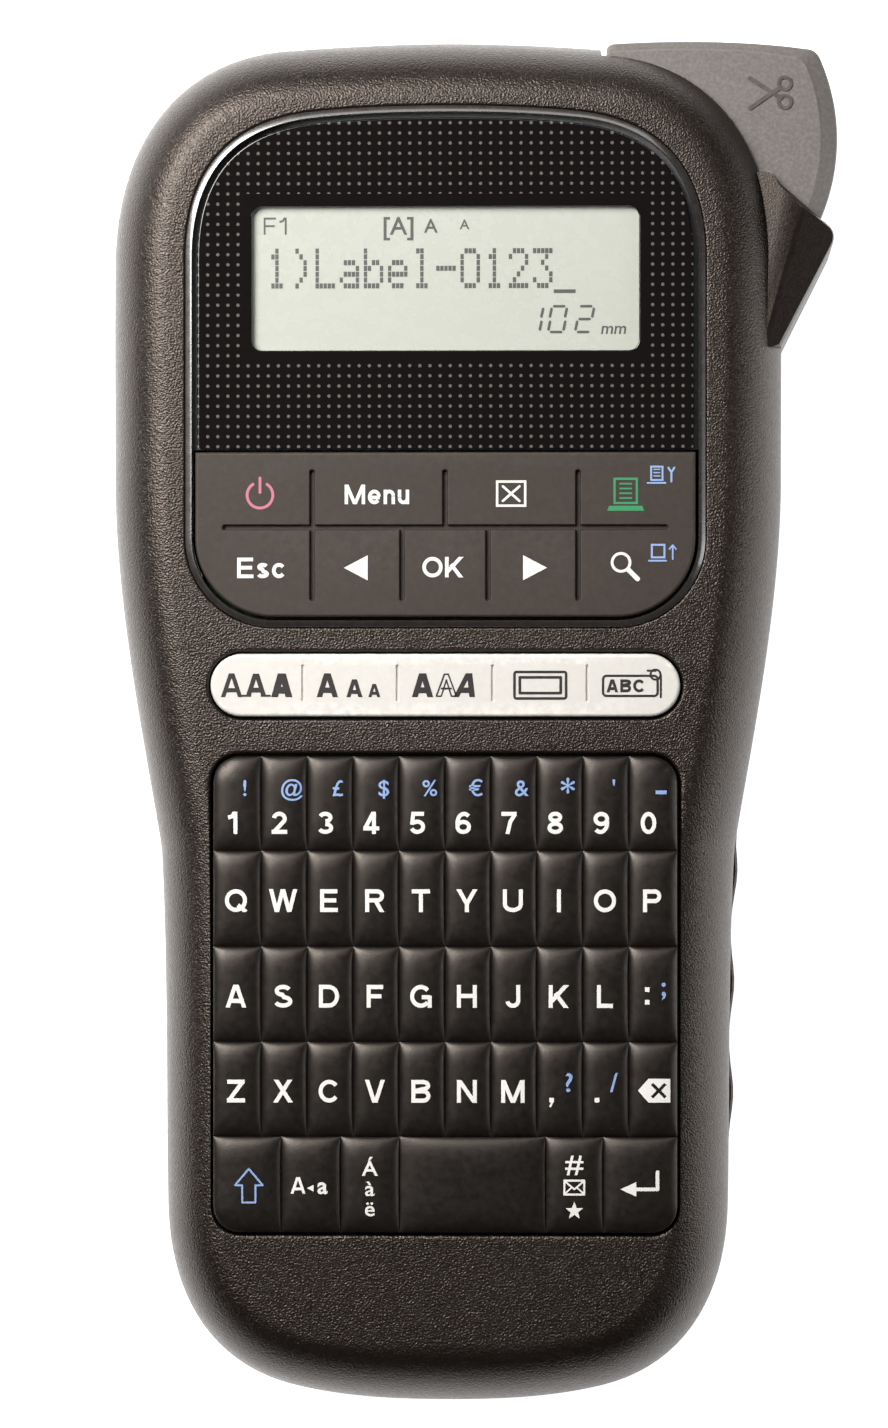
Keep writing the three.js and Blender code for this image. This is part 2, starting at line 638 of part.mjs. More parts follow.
function addPrinter() {
  addPart("print_chassis", chassis(), INNER_PLASTIC);
  addPart("thermal_head", box(34.4, 40.6, 80.7, 87.1, 9, 25), STEEL);
  addPart("platen_roller", post(PLATEN.x, PLATEN.y, 9, 26, PLATEN.radius, 20), ROLLER_RUBBER);
  const shaft = post(PLATEN.x, PLATEN.y, 26 + GAP, GEAR_LOW_Z + 0.5, 1);
  addPart("platen_gear", gear(PLATEN, PLATEN.teeth, platenPhase).add(shaft), PALE_PLASTIC);
  addPart("idler_gear", gear(idlerCentre, IDLER.teeth, idlerPhase, 1.5), PALE_PLASTIC);
  const { x, y } = pinionCentre;
  const drive = post(x, y, GEAR_LOW_Z + 0.5, MOTOR.lowZ + 5, 1, 12);
  addPart("motor_pinion", gear(pinionCentre, PINION.teeth, pinionPhase).add(drive), BRASS);

  const can = post(x, y, MOTOR.lowZ, MOTOR.topZ, MOTOR.radius, 24);
  const flats = box(x - 9, x + 9, y - 6.2, y + 6.2, 30, 50);
  const bearing = post(x, y, MOTOR.lowZ - 1, MOTOR.lowZ + 5.4, 1.3, 12);
  addPart("motor", can.intersect(flats).subtract(bearing), STEEL);

  const spindle = post(takeupCentre.x, takeupCentre.y, 10, GEAR_LOW_Z + 0.5, 1.5, 12);
  addPart("takeup_drive", gear(takeupCentre, TAKEUP.teeth, takeupPhase).add(spindle), PALE_PLASTIC);
}

// ---------- Tape cassette ----------

const CASSETTE = { x0: -34, x1: 30.6, y0: 38, y1: 84, lowZ: 4.6, topZ: 26.6 };
const TAPE_ROLL = { x: -14, y: 61, radius: 17 };
const RIBBON = { x: 14, y: 71, radius: 7.5 };

function cassetteCase() {
  const { x0, x1, y0, y1, lowZ, topZ } = CASSETTE;
  const shell = slab(roundedRectangle(x0, x1, y0, y1, 2.5), lowZ, topZ, 2);
  const room = slab(roundedRectangle(x0 + 1.4, x1 - 1.4, y0 + 1.4, y1 - 1.4, 1.6), lowZ + 1.4, topZ - 1.4, 2);
  return shell
    .subtract(room)
    .subtract(box(x1 - 3, x1 + 3, TAPE_PLANE_Y - 1.6, TAPE_PLANE_Y + 1.6, 9, 24))
    .subtract(post(takeupCentre.x, takeupCentre.y, topZ - 3, topZ + 3, 2.4, 12))
    .add(post(TAPE_ROLL.x, TAPE_ROLL.y, lowZ + 1, topZ - 1, 2.2, 12))
    .add(post(RIBBON.x, RIBBON.y, lowZ + 1, topZ - 1, 1.6, 12));
}

function spool({ x, y }, radius, bore, sides) {
  return post(x, y, 8, 24, radius, sides).subtract(post(x, y, 0, 40, bore, 12));
}

function addCassette() {
  addPart("cassette_case", cassetteCase(), INNER_PLASTIC);
  addPart("tape_roll", spool(TAPE_ROLL, TAPE_ROLL.radius, 2.6, 32), TAPE_WHITE);
  addPart("ribbon_supply_spool", spool(RIBBON, RIBBON.radius, 2, 20), ROLLER_RUBBER);
  addPart("ribbon_takeup_spool", spool(takeupCentre, 6, 1.8, 20), ROLLER_RUBBER);
}

// ---------- Power and electronics ----------

function batteryTray() {
  const high = CELL.low + CELL.length;
  const reach = CELL.pitch * 3 + 2;
  const top = CELL.z + CELL.radius + GAP;
  return box(-reach, reach, CELL.low - 4, high + 4, top, top + 1.4)
    .add(box(-reach, reach, high + 2.4, high + 4, CELL.z - 4, top + 1))
    .add(box(-reach, reach, CELL.low - 4, CELL.low - 2.6, CELL.z - 3, top + 1));
}

// Sprung contact plate: one bump for each cell.
function contactPlate(y, towards) {
  let plate = box(-CELL.pitch * 3 + 1, CELL.pitch * 3 - 1, y - 0.3, y + 0.3, CELL.z - 3.4, CELL.z + 4.6);
  for (let i = 0; i < 6; i++) {
    const x = (i - 2.5) * CELL.pitch;
    const from = Math.min(y, y + towards);
    plate = plate.add(rodAlongY(x, CELL.z, from, from + Math.abs(towards), 2, 8));
  }
  return plate;
}

function addPower() {
  for (let i = 0; i < 6; i++) {
    const x = (i - 2.5) * CELL.pitch;
    const nubAtTop = i % 2 === 0;
    const low = CELL.low + (nubAtTop ? 0 : 1);
    const high = CELL.low + CELL.length - (nubAtTop ? 1 : 0);
    const nub = nubAtTop ? [high - 1, high + 1] : [low - 1, low + 1];
    const can = rodAlongY(x, CELL.z, low, high, CELL.radius, 18);
    addPart("battery_" + (i + 1), can.add(rodAlongY(x, CELL.z, ...nub, 1.8, 10)), CELL_WRAP);
  }
  addPart("battery_tray", batteryTray(), INNER_PLASTIC);
  const high = CELL.low + CELL.length;
  addPart("battery_contacts_head", contactPlate(high + 1.7, -1.4), STEEL);
  addPart("battery_contacts_tail", contactPlate(CELL.low - 1.9, 1.6), STEEL);
  const boardShape = roundedRectangle(-36.5, 36.5, -79, 79, 3);
  addPart("main_board", slab(boardShape, 47.2, 48.8, 2), BOARD_GREEN);

  const { y, z } = DC_INLET;
  const jack = box(-48.3, -37, y - 5, y + 5, z - 5.5, z + 5.5)
    .subtract(rodAlongX(y, z, -52, -39, 2.8, 8))
    .add(rodAlongX(y, z, -47, -38, 0.7, 4));
  addPart("power_inlet", jack, ROLLER_RUBBER);
}

// ---------- Build ----------

addCases();
addConsole();
addControlKeys();
addFunctionKeys();
addKeyboard();
addCutter();
addPrinter();
addCassette();
addPower();

// The row's origin is the centre of the box that holds the body, the lever and the guard.
const bounds = new THREE.Box3().setFromObject(labelMaker);
const centre = bounds.getCenter(new THREE.Vector3());
labelMaker.position.set(-centre.x, -centre.y, -bounds.min.z);

export default labelMaker;
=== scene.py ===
"""Looks of the handheld label maker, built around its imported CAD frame.

Shapes are worked out in the device's own axes, in millimetres: x = 0 is the middle of the case, +Y points
to the display end and z = 0 is the flat back. make_piece() turns them into metres in the row frame.
"""

import math

import bmesh
import bpy
import numpy as np
from mathutils import Matrix, Vector
from mathutils.geometry import tessellate_polygon


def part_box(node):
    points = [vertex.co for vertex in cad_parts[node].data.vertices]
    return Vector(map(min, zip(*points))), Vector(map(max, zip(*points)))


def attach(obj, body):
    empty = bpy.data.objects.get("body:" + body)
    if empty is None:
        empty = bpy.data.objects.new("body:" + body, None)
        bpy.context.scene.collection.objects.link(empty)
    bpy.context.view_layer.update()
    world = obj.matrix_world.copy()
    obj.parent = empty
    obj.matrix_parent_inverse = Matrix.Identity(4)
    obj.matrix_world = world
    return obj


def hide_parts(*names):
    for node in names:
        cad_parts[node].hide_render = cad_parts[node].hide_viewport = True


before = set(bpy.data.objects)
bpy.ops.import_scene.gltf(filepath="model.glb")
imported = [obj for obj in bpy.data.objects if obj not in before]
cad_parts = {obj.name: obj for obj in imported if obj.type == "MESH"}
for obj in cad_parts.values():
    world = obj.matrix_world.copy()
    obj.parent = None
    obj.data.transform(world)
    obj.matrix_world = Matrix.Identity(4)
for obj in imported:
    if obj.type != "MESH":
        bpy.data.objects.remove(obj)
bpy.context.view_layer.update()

# ---------- Sizes in millimetres, as in the CAD ----------

MM = 0.001
MAT_LOW_Y = -78.8
mat_low, mat_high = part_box("keypad_mat")
DEVICE_ORIGIN = Vector(((mat_low.x + mat_high.x) / 2, mat_low.y - MAT_LOW_Y * MM, 0))

WALL = 2.2
BODY_HALF_WIDTH = 50.9
BODY_TOP = 102.9
BODY_BOTTOM = -104.2
FACE_Z = 56.4
CUTTER_LOW_Z, CUTTER_HIGH_Z = 40, 70  # reach of cutters through the front
PARTING_Z = 30.0
PARTING_GAP = 0.3
PARTING_BEVEL = (0.35, 0.4)  # across and deep
GRIP_RISE = 17.0
GRIP_START_Y = -12.0
GRIP_BLEND = 45.0
ROUND_ACROSS = 9.0
FRONT_ROUND_DEEP = 13.0
BACK_ROUND_DEEP = 11.0
GRIP_RIPPLES_Y = (-24.0, -41.0, -58.0)
GRIP_RIPPLE_HEIGHT = 0.75

KEY_TOP_Z = 57.2
KEY_FOOT_Z = 52.4
KEYBOARD_TOP_Z = 58.0
PILLOW_EDGE_Z = 56.9
SEAM = 0.012  # hairline between keys where no groove parts them
CONTROL_ROWS_Y = (40.1, 28.7, 15.4)
STRIP_HALF_WIDTH, STRIP_LOW, STRIP_HIGH = 35.5, 0.1, 9.6
KEYBOARD_HALF_WIDTH, KEYBOARD_LOW, KEYBOARD_HIGH = 35.1, -77.9, -5.9
KEYBOARD_CORNER = 4.0
KEY_PITCH = 6.95
CHARACTER_ROWS_Y = (-5.9, -20.2, -34.7, -49.1, -63.4)
BOTTOM_ROW_X = (-35.1, -24.8, -15.8, -6.9, 15.2, 23.9, 35.1)
DISPLAY_HALF_WIDTH, DISPLAY_LOW, DISPLAY_HIGH = 29.3, 55.5, 77.3

LEVER_PIVOT = (28.6, 87.9)
LEVER_RADIUS = 30.79
LEVER_LOW_Z, LEVER_TOP_Z = 10.0, 49.6
GUARD_TOP_Z = 52.4

# ---------- Curves and outlines ----------


def bezier(start, first, second, end, count):
    """Points along a cubic curve, without its last point."""
    t = np.linspace(0, 1, count, endpoint=False)[:, None]
    knots = np.array([start, first, second, end], float)
    weights = [(1 - t) ** 3, 3 * t * (1 - t) ** 2, 3 * t * t * (1 - t), t**3]
    return sum(w * k for w, k in zip(weights, knots))


def arc(centre, radius, start, end, count=12):
    """Points on a circle between two angles in degrees, both ends included."""
    turn = np.radians(np.linspace(start, end, count))
    return np.column_stack([centre[0] + radius * np.cos(turn), centre[1] + radius * np.sin(turn)])


def respace(points, count, closed=True):
    """The same line with evenly spaced points."""
    line = np.vstack([points, points[:1]]) if closed else np.asarray(points)
    length = np.concatenate([[0], np.cumsum(np.linalg.norm(np.diff(line, axis=0), axis=1))])
    wanted = np.linspace(0, length[-1], count + 1 if closed else count)
    if closed:
        wanted = wanted[:-1]
    return np.column_stack([np.interp(wanted, length, line[:, i]) for i in (0, 1)])


def inward_normals(outline):
    """Unit normals of a closed anticlockwise outline, pointing to its inside."""
    along = np.roll(outline, -1, axis=0) - np.roll(outline, 1, axis=0)
    along /= np.linalg.norm(along, axis=1)[:, None]
    return np.column_stack([-along[:, 1], along[:, 0]])


def inset(outline, distance):
    return outline + inward_normals(outline) * distance


def rounded_rectangle(x0, x1, y0, y1, radius, corner_points=12):
    return np.vstack(
        [
            arc((x1 - radius, y0 + radius), radius, -90, 0, corner_points),
            arc((x1 - radius, y1 - radius), radius, 0, 90, corner_points),
            arc((x0 + radius, y1 - radius), radius, 90, 180, corner_points),
            arc((x0 + radius, y0 + radius), radius, 180, 270, corner_points),
        ]
    )


def slot_outline(a, b, half_width, end_points=9):
    """A straight slot with round ends between two points."""
    heading = math.degrees(math.atan2(b[1] - a[1], b[0] - a[0]))
    return np.vstack(
        [
            arc(b, half_width, heading - 90, heading + 90, end_points),
            arc(a, half_width, heading + 90, heading + 270, end_points),
        ]
    )


def body_half_outline(count=150):
    """Right half of the case's plan, from the middle of the head to the middle of the tail."""
    w = BODY_HALF_WIDTH
    line = np.vstack(
        [
            bezier((0, BODY_TOP), (8, BODY_TOP), (17, 102.4), (24, 101.9), 40),
            bezier((24, 101.9), (38, 101.2), (50.2, 91.5), (w, 70), 60),
            bezier((w, 70), (51, 58), (w, 47), (w, 36), 40),
            bezier((w, 36), (w, 16), (45.6, -8), (43.8, -20), 60),
            bezier((43.8, -20), (42.8, -38), (43.1, -60), (42.8, -74), 50),
            bezier((42.8, -74), (42.6, -88), (36.5, -98.6), (24, -101.9), 60),
            bezier((24, -101.9), (16, -103.9), (8, BODY_BOTTOM), (0, BODY_BOTTOM), 40),
            [(0, BODY_BOTTOM)],
        ]
    )
    return respace(line, count, closed=False)


def inset_half(half, distance):
    """The half outline moved inwards; its two ends stay on the middle line."""
    before = np.vstack([[-half[1, 0], half[1, 1]], half[:-1]])
    after = np.vstack([half[1:], [-half[-2, 0], half[-2, 1]]])
    along = after - before
    along /= np.linalg.norm(along, axis=1)[:, None]
    moved = half + np.column_stack([along[:, 1], -along[:, 0]]) * np.asarray(distance).reshape(-1, 1)
    moved[[0, -1], 0] = 0
    return moved


def console_outline(count=420):
    """Opening round the display and the control keys."""
    half, top, bottom, corner = 39.4, 92.6, 13.6, 13.5
    right = np.vstack(
        [
            [(0, bottom)],
            arc((half - corner, bottom + corner), corner, -90, 0, 40),
            bezier((half, top - 23), (half, top - 10), (33, top - 2.6), (21, top - 1), 40),
            bezier((21, top - 1), (15, top - 0.3), (8, top), (0, top), 20),
        ]
    )
    left = right[::-1] * [-1, 1]
    return respace(np.vstack([right, left[:-1]]), count)


def smooth(t):
    t = np.clip(t, 0, 1)
    return t * t * (3 - 2 * t)


def back_height(y):
    return GRIP_RISE * smooth((GRIP_START_Y - np.asarray(y)) / GRIP_BLEND)


# ---------- Meshes ----------


def make_piece(name, vertices, faces, material=None):
    """A mesh object from millimetres in device axes."""
    mesh = bpy.data.meshes.new(name)
    points = np.asarray(vertices, float) * MM + np.array(DEVICE_ORIGIN)
    mesh.from_pydata(points.tolist(), [], [list(map(int, f)) for f in faces])
    mesh.validate()
    piece = bpy.data.objects.new(name, mesh)
    bpy.context.scene.collection.objects.link(piece)
    if material:
        mesh.materials.append(material)
    return piece


def loft(name, sections):
    """A closed solid through outlines of equal point count: sections are (outline, z), bottom first."""
    count = len(sections[0][0])
    vertices = np.vstack([np.column_stack([o, np.broadcast_to(z, count)]) for o, z in sections])
    faces = [list(range(count))[::-1], [len(vertices) - count + i for i in range(count)]]
    for s in range(len(sections) - 1):
        for i in range(count):
            j = (i + 1) % count
            a, b = s * count, (s + 1) * count
            faces.append([a + i, a + j, b + j, b + i])
    return make_piece(name, vertices, faces)


def ring_loft(name, outline, profile):
    """A closed ring from profile points (inset, z), taken anticlockwise seen along the outline."""
    count, steps = len(outline), len(profile)
    vertices = np.vstack([np.column_stack([inset(outline, d), np.full(count, z)]) for d, z in profile])
    faces = []
    for s in range(steps):
        a, b = s * count, ((s + 1) % steps) * count
        faces += [[a + i, a + (i + 1) % count, b + (i + 1) % count, b + i] for i in range(count)]
    return make_piece(name, vertices, faces)


def round_over(outline, low, high, radius, steps=5):
    """Sections of a slab whose top edge is rounded over."""
    sections = [(outline, low)]
    for k in range(steps + 1):
        turn = k / steps * math.pi / 2
        sections.append((inset(outline, radius * (1 - math.cos(turn))), high - radius * (1 - math.sin(turn))))
    return sections


def opening_cutter(outline, low, face, radius=0.4, steps=4):
    """A cutter that opens a flat face and rounds the opening's edge."""
    sections = [(outline, low)]
    for k in range(steps + 1):
        turn = k / steps * math.pi / 2
        grow = -radius * (1 - math.cos(turn))
        sections.append((inset(outline, grow), face - radius * (1 - math.sin(turn))))
    sections.append((inset(outline, -radius), face + 3))
    return loft("cutter", sections)


def combine(piece, other, operation="DIFFERENCE"):
    """Joins or cuts a piece with another, which is used up."""
    modifier = piece.modifiers.new("cut", "BOOLEAN")
    modifier.operation = operation
    modifier.solver = "MANIFOLD"
    modifier.object = other
    graph = bpy.context.evaluated_depsgraph_get()
    made = bpy.data.meshes.new_from_object(piece.evaluated_get(graph))
    piece.modifiers.clear()
    old = piece.data
    piece.data = made
    bpy.data.meshes.remove(old)
    bpy.data.meshes.remove(other.data)
    return piece


def copy_of(piece, name):
    twin = piece.copy()
    twin.data = piece.data.copy()
    twin.name = name
    bpy.context.scene.collection.objects.link(twin)
    return twin


def block(x0, x1, y0, y1, z0, z1):
    corners = np.array([(x0, y0), (x1, y0), (x1, y1), (x0, y1)], float)
    return loft("cutter", [(corners, z0), (corners, z1)])


def upright(x, y, z0, z1, radius, sides=40):
    outline = arc((x, y), radius, 0, 360 - 360 / sides, sides)
    return loft("cutter", [(outline, z0), (outline, z1)])


def finish_mesh(piece, material, sharp_degrees=32):
    """Smooth shading with sharp edges kept, and flat faces kept flat beside their roundings."""
    mesh = piece.data
    mesh.materials.clear()
    mesh.materials.append(material)
    bm = bmesh.new()
    bm.from_mesh(mesh)
    bmesh.ops.remove_doubles(bm, verts=bm.verts, dist=2e-7)
    bmesh.ops.dissolve_degenerate(bm, edges=bm.edges, dist=1e-7)
    bmesh.ops.recalc_face_normals(bm, faces=bm.faces)
    bm.to_mesh(mesh)
    bm.free()
    mesh.shade_smooth()
    mesh.set_sharp_from_angle(angle=math.radians(sharp_degrees))
    weighted = piece.modifiers.new("weighted_normals", "WEIGHTED_NORMAL")
    weighted.keep_sharp = True
    weighted.weight = 100
    return piece


def place(piece, body, slot, *nodes):
    """Puts a finished piece on its body and hides the CAD nodes it stands for; the slot argument is not used.
    """
    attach(piece, body)
    if nodes:
        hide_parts(*nodes)
    return piece


# ---------- Materials ----------


class Recipe:
    """A principled material with short ways to add the usual nodes."""

    def __init__(self, name, colour, roughness, metallic=0.0, specular=0.5, coat=0.0):
        self.material = bpy.data.materials.new(name)
        self.material.use_nodes = True
        self.tree = self.material.node_tree
        self.shader = self.tree.nodes["Principled BSDF"]
        self.set("Base Color", (*colour, 1))
        self.set("Roughness", roughness)
        self.set("Metallic", metallic)
        self.set("Specular IOR Level", specular)
        self.set("Coat Weight", coat)
        self.set("Coat Roughness", 0.08)
        self.colour = self.value_of("Base Color")
        self.position = self.node("ShaderNodeTexCoord").outputs["Object"]

    def set(self, socket, value):
        self.shader.inputs[socket].default_value = value

    def value_of(self, socket):
        return tuple(self.shader.inputs[socket].default_value)

    def node(self, kind, **settings):
        made = self.tree.nodes.new(kind)
        for key, value in settings.items():
            setattr(made, key, value)
        return made

    def link(self, source, target):
        self.tree.links.new(source, target)

    def noise(self, scale, detail=4.0, roughness=0.55):
        texture = self.node("ShaderNodeTexNoise")
        texture.inputs["Scale"].default_value = scale
        texture.inputs["Detail"].default_value = detail
        texture.inputs["Roughness"].default_value = roughness
        self.link(self.position, texture.inputs["Vector"])
        return texture.outputs["Fac"]

    def remap(self, source, low, high, out_low=0.0, out_high=1.0):
        made = self.node("ShaderNodeMapRange")
        self.link(source, made.inputs["Value"])
        made.inputs["From Min"].default_value = low
        made.inputs["From Max"].default_value = high
        made.inputs["To Min"].default_value = out_low
        made.inputs["To Max"].default_value = out_high
        return made.outputs["Result"]

    def mix_colour(self, factor, first, second):
        made = self.node("ShaderNodeMix", data_type="RGBA")
        for socket, value in ((made.inputs[0], factor), (made.inputs[6], first), (made.inputs[7], second)):
            if isinstance(value, bpy.types.NodeSocket):
                self.link(value, socket)
            elif isinstance(value, (int, float)):
                socket.default_value = value
            else:
                socket.default_value = (*value[:3], 1)
        return made.outputs[2]

    def math(self, operation, first, second=None):
        made = self.node("ShaderNodeMath", operation=operation)
        for socket, value in zip(made.inputs, (first, second)):
            if isinstance(value, bpy.types.NodeSocket):
                self.link(value, socket)
            elif value is not None:
                socket.default_value = value
        return made.outputs[0]

    def mottle(self, scale, lighter, share=(0.35, 0.7)):
        """Uneven colour: patches of a second colour where a noise is high."""
        factor = self.remap(self.noise(scale, 6), *share)
        self.colour = self.mix_colour(factor, self.colour, lighter)
        self.link(self.colour, self.shader.inputs["Base Color"])

    def worn_edges(self, lighter, strength=0.6):
        """Convex edges rub lighter."""
        pointiness = self.node("ShaderNodeNewGeometry").outputs["Pointiness"]
        rubbed = self.remap(pointiness, 0.52, 0.62, 0.0, strength)
        broken = self.math("MULTIPLY", rubbed, self.remap(self.noise(900, 5), 0.35, 0.65))
        self.colour = self.mix_colour(broken, self.colour, lighter)
        self.link(self.colour, self.shader.inputs["Base Color"])

    def vary_roughness(self, scale, low, high):
        varied = self.remap(self.noise(scale, 5), 0.3, 0.7, low, high)
        self.link(varied, self.shader.inputs["Roughness"])

    def bump(self, height, strength, distance):
        made = self.node("ShaderNodeBump")
        made.inputs["Strength"].default_value = strength
        made.inputs["Distance"].default_value = distance
        self.link(height, made.inputs["Height"])
        normal = self.shader.inputs["Normal"]
        if normal.is_linked:
            self.link(normal.links[0].from_socket, made.inputs["Normal"])
        self.link(made.outputs["Normal"], normal)


def case_plastic(name="case_plastic", grain=1.0, specular=0.55):
    """Dark moulded shell with a spark-eroded grain."""
    recipe = Recipe(name, (0.0038, 0.0022, 0.0016), 0.35, specular=specular)
    recipe.set("Specular Tint", (1, 0.87, 0.78, 1))
    recipe.mottle(2600, (0.0105, 0.0075, 0.0062), (0.45, 0.68))
    recipe.mottle(60, (0.007, 0.005, 0.0042), (0.3, 0.8))
    recipe.worn_edges((0.03, 0.026, 0.024), 0.4)
    recipe.vary_roughness(1500, 0.29, 0.41)
    recipe.bump(recipe.noise(3300, 1, 0.5), 0.9 * grain, 0.00015)
    return recipe.material


def trim_gloss():
    """Polished dark rim round the console."""
    recipe = Recipe("trim_gloss", (0.02, 0.017, 0.016), 0.22, specular=1.0, coat=1.0)
    recipe.mottle(900, (0.03, 0.026, 0.025), (0.4, 0.8))
    recipe.vary_roughness(700, 0.2, 0.3)
    recipe.bump(recipe.noise(1400, 3), 0.04, 0.00003)
    return recipe.material


def lens_gloss():
    """Black lens with a fine printed grid of grey dots, clear of the window."""
    recipe = Recipe("lens_gloss", (0.004, 0.003, 0.0028), 0.09, specular=0.5, coat=0.3)
    axes = recipe.node("ShaderNodeSeparateXYZ")
    recipe.link(recipe.position, axes.inputs[0])
    pitch, radius = 1.53 * MM, 0.235 * MM
    squares = []
    for axis, origin in (("X", DEVICE_ORIGIN.x), ("Y", DEVICE_ORIGIN.y + 0.4 * MM)):
        moved = recipe.math("SUBTRACT", axes.outputs[axis], origin + 0.5 * pitch)
        cell = recipe.math("PINGPONG", moved, pitch / 2)
        squares.append(recipe.math("POWER", cell, 2.0))
    distance = recipe.math("SQRT", recipe.math("ADD", *squares))
    dot = recipe.remap(distance, radius * 1.25, radius * 0.75)
    middle_y = DEVICE_ORIGIN.y + (DISPLAY_LOW + DISPLAY_HIGH) / 2 * MM
    beyond_x = recipe.math("ABSOLUTE", recipe.math("SUBTRACT", axes.outputs["X"], DEVICE_ORIGIN.x))
    beyond_y = recipe.math("ABSOLUTE", recipe.math("SUBTRACT", axes.outputs["Y"], middle_y))
    clear_x = recipe.math("GREATER_THAN", beyond_x, (DISPLAY_HALF_WIDTH + 1.0) * MM)
    clear_y = recipe.math("GREATER_THAN", beyond_y, ((DISPLAY_HIGH - DISPLAY_LOW) / 2 + 1.9) * MM)
    dot = recipe.math("MULTIPLY", dot, recipe.math("MAXIMUM", clear_x, clear_y))
    inked = recipe.mix_colour(dot, recipe.colour, (0.11, 0.105, 0.10))
    dust = recipe.remap(recipe.noise(5200, 2), 0.74, 0.8, 0.0, 0.25)
    recipe.link(recipe.mix_colour(dust, inked, (0.1, 0.1, 0.1)), recipe.shader.inputs["Base Color"])
    recipe.vary_roughness(300, 0.07, 0.12)
    return recipe.material


def display_glass():
    """Pale reflective display panel with a faint uneven tone."""
    recipe = Recipe("display_glass", (0.385, 0.405, 0.36), 0.28, specular=0.4, coat=0.25)
    recipe.mottle(30, (0.40, 0.425, 0.385), (0.2, 0.85))
    recipe.vary_roughness(500, 0.22, 0.32)
    recipe.bump(recipe.noise(2500, 2), 0.03, 0.00002)
    return recipe.material


def silicone(name, colour, lighter, low, high, grain=0.25):
    """Moulded key rubber: a soft grain, faint dust and rubbed edges."""
    recipe = Recipe(name, colour, (low + high) / 2, specular=0.42)
    recipe.set("Specular Tint", (1, 0.9, 0.82, 1))
    recipe.mottle(1200, lighter, (0.35, 0.75))
    recipe.worn_edges(tuple(min(1.0, c * 1.7) for c in lighter), 0.45)
    dust = recipe.remap(recipe.noise(3800, 2), 0.70, 0.78, 0.0, 0.35)
    dusty = recipe.mix_colour(dust, recipe.colour, tuple(min(1.0, c + 0.08) for c in lighter))
    recipe.link(dusty, recipe.shader.inputs["Base Color"])
    recipe.vary_roughness(800, low, high)
    recipe.bump(recipe.noise(2400, 3, 0.6), grain, 0.00003)
    return recipe.material


def ink(name, colour):
    recipe = Recipe(name, colour, 0.45)
    recipe.mottle(3000, tuple(c * 0.88 for c in colour), (0.5, 0.85))
    recipe.vary_roughness(1800, 0.38, 0.52)
    return recipe.material


def moulding(name, colour, roughness, grain=0.3, scale=1800):
    """Plain moulded plastic for lever and inner pieces."""
    recipe = Recipe(name, colour, roughness)
    recipe.mottle(scale, tuple(min(1.0, c * 1.35) for c in colour), (0.4, 0.68))
    recipe.worn_edges(tuple(min(1.0, c * 1.8) for c in colour), 0.5)
    recipe.vary_roughness(scale / 2, roughness - 0.07, roughness + 0.08)
    recipe.bump(recipe.noise(scale * 1.3, 3, 0.65), grain, 0.00005)
    return recipe.material


def metal(name, colour, roughness, stretch=(1, 1, 14)):
    """Plated or turned metal with fine drawn lines."""
    recipe = Recipe(name, colour, roughness, metallic=1.0)
    mapping = recipe.node("ShaderNodeMapping")
    mapping.inputs["Scale"].default_value = stretch
    recipe.link(recipe.position, mapping.inputs["Vector"])
    recipe.position = mapping.outputs["Vector"]
    recipe.mottle(1500, tuple(c * 0.8 for c in colour), (0.35, 0.7))
    recipe.vary_roughness(1900, roughness - 0.08, roughness + 0.1)
    recipe.bump(recipe.noise(2600, 3), 0.1, 0.00002)
    return recipe.material


def circuit_board():
    """Green solder mask with paler copper runs under it."""
    recipe = Recipe("circuit_board", (0.012, 0.085, 0.035), 0.35, coat=0.3)
    runs = recipe.node("ShaderNodeTexBrick")
    recipe.link(recipe.position, runs.inputs["Vector"])
    runs.inputs["Scale"].default_value = 260
    runs.inputs["Mortar Size"].default_value = 0.06
    recipe.colour = recipe.mix_colour(runs.outputs["Fac"], recipe.colour, (0.03, 0.16, 0.07))
    recipe.mottle(600, (0.02, 0.11, 0.05), (0.4, 0.8))
    recipe.vary_roughness(900, 0.28, 0.42)
    return recipe.material


CASE = case_plastic()
GUARD = case_plastic("guard_plastic", 0.2, 0.35)
TRIM = trim_gloss()
LENS = lens_gloss()
DISPLAY = display_glass()
RUBBER_BLACK = silicone("rubber_black", (0.0045, 0.0034, 0.0030), (0.0075, 0.0060, 0.0054), 0.34, 0.46)
RUBBER_DARK = silicone("rubber_dark", (0.021, 0.0168, 0.0148), (0.029, 0.0238, 0.0212), 0.48, 0.6)
RUBBER_WHITE = silicone("rubber_white", (0.52, 0.51, 0.485), (0.55, 0.54, 0.515), 0.38, 0.5, 0.12)
LEVER = moulding("lever_plastic", (0.112, 0.102, 0.096), 0.46, 0.5, 1900)
# Darker tone for the scissors icon: painted shade standing in for the shadows round its raised strokes.
LEVER_ICON_SHADE = moulding("lever_icon_painted_shade", (0.045, 0.04, 0.037), 0.5, 0.3)
INNER = moulding("inner_moulding", (0.05, 0.05, 0.053), 0.5)
PALE = moulding("gear_nylon", (0.62, 0.6, 0.54), 0.42, 0.15)
STEEL = metal("plated_steel", (0.58, 0.58, 0.57), 0.3)
BRASS = metal("turned_brass", (0.62, 0.43, 0.17), 0.3)
BOARD = circuit_board()
ROLLER = silicone("black_rubber", (0.018, 0.018, 0.018), (0.026, 0.026, 0.026), 0.6, 0.75)
TAPE = moulding("tape_film", (0.78, 0.78, 0.75), 0.4, 0.1)
CELL = moulding("cell_sleeve", (0.03, 0.09, 0.22), 0.28, 0.06)
INK_WHITE = ink("ink_white", (0.68, 0.67, 0.65))
INK_BLUE = ink("ink_blue", (0.22, 0.33, 0.58))
INK_PINK = ink("ink_pink", (0.42, 0.13, 0.19))
INK_GREEN = ink("ink_green", (0.026, 0.22, 0.09))
INK_DARK = ink("ink_dark", (0.012, 0.010, 0.010))
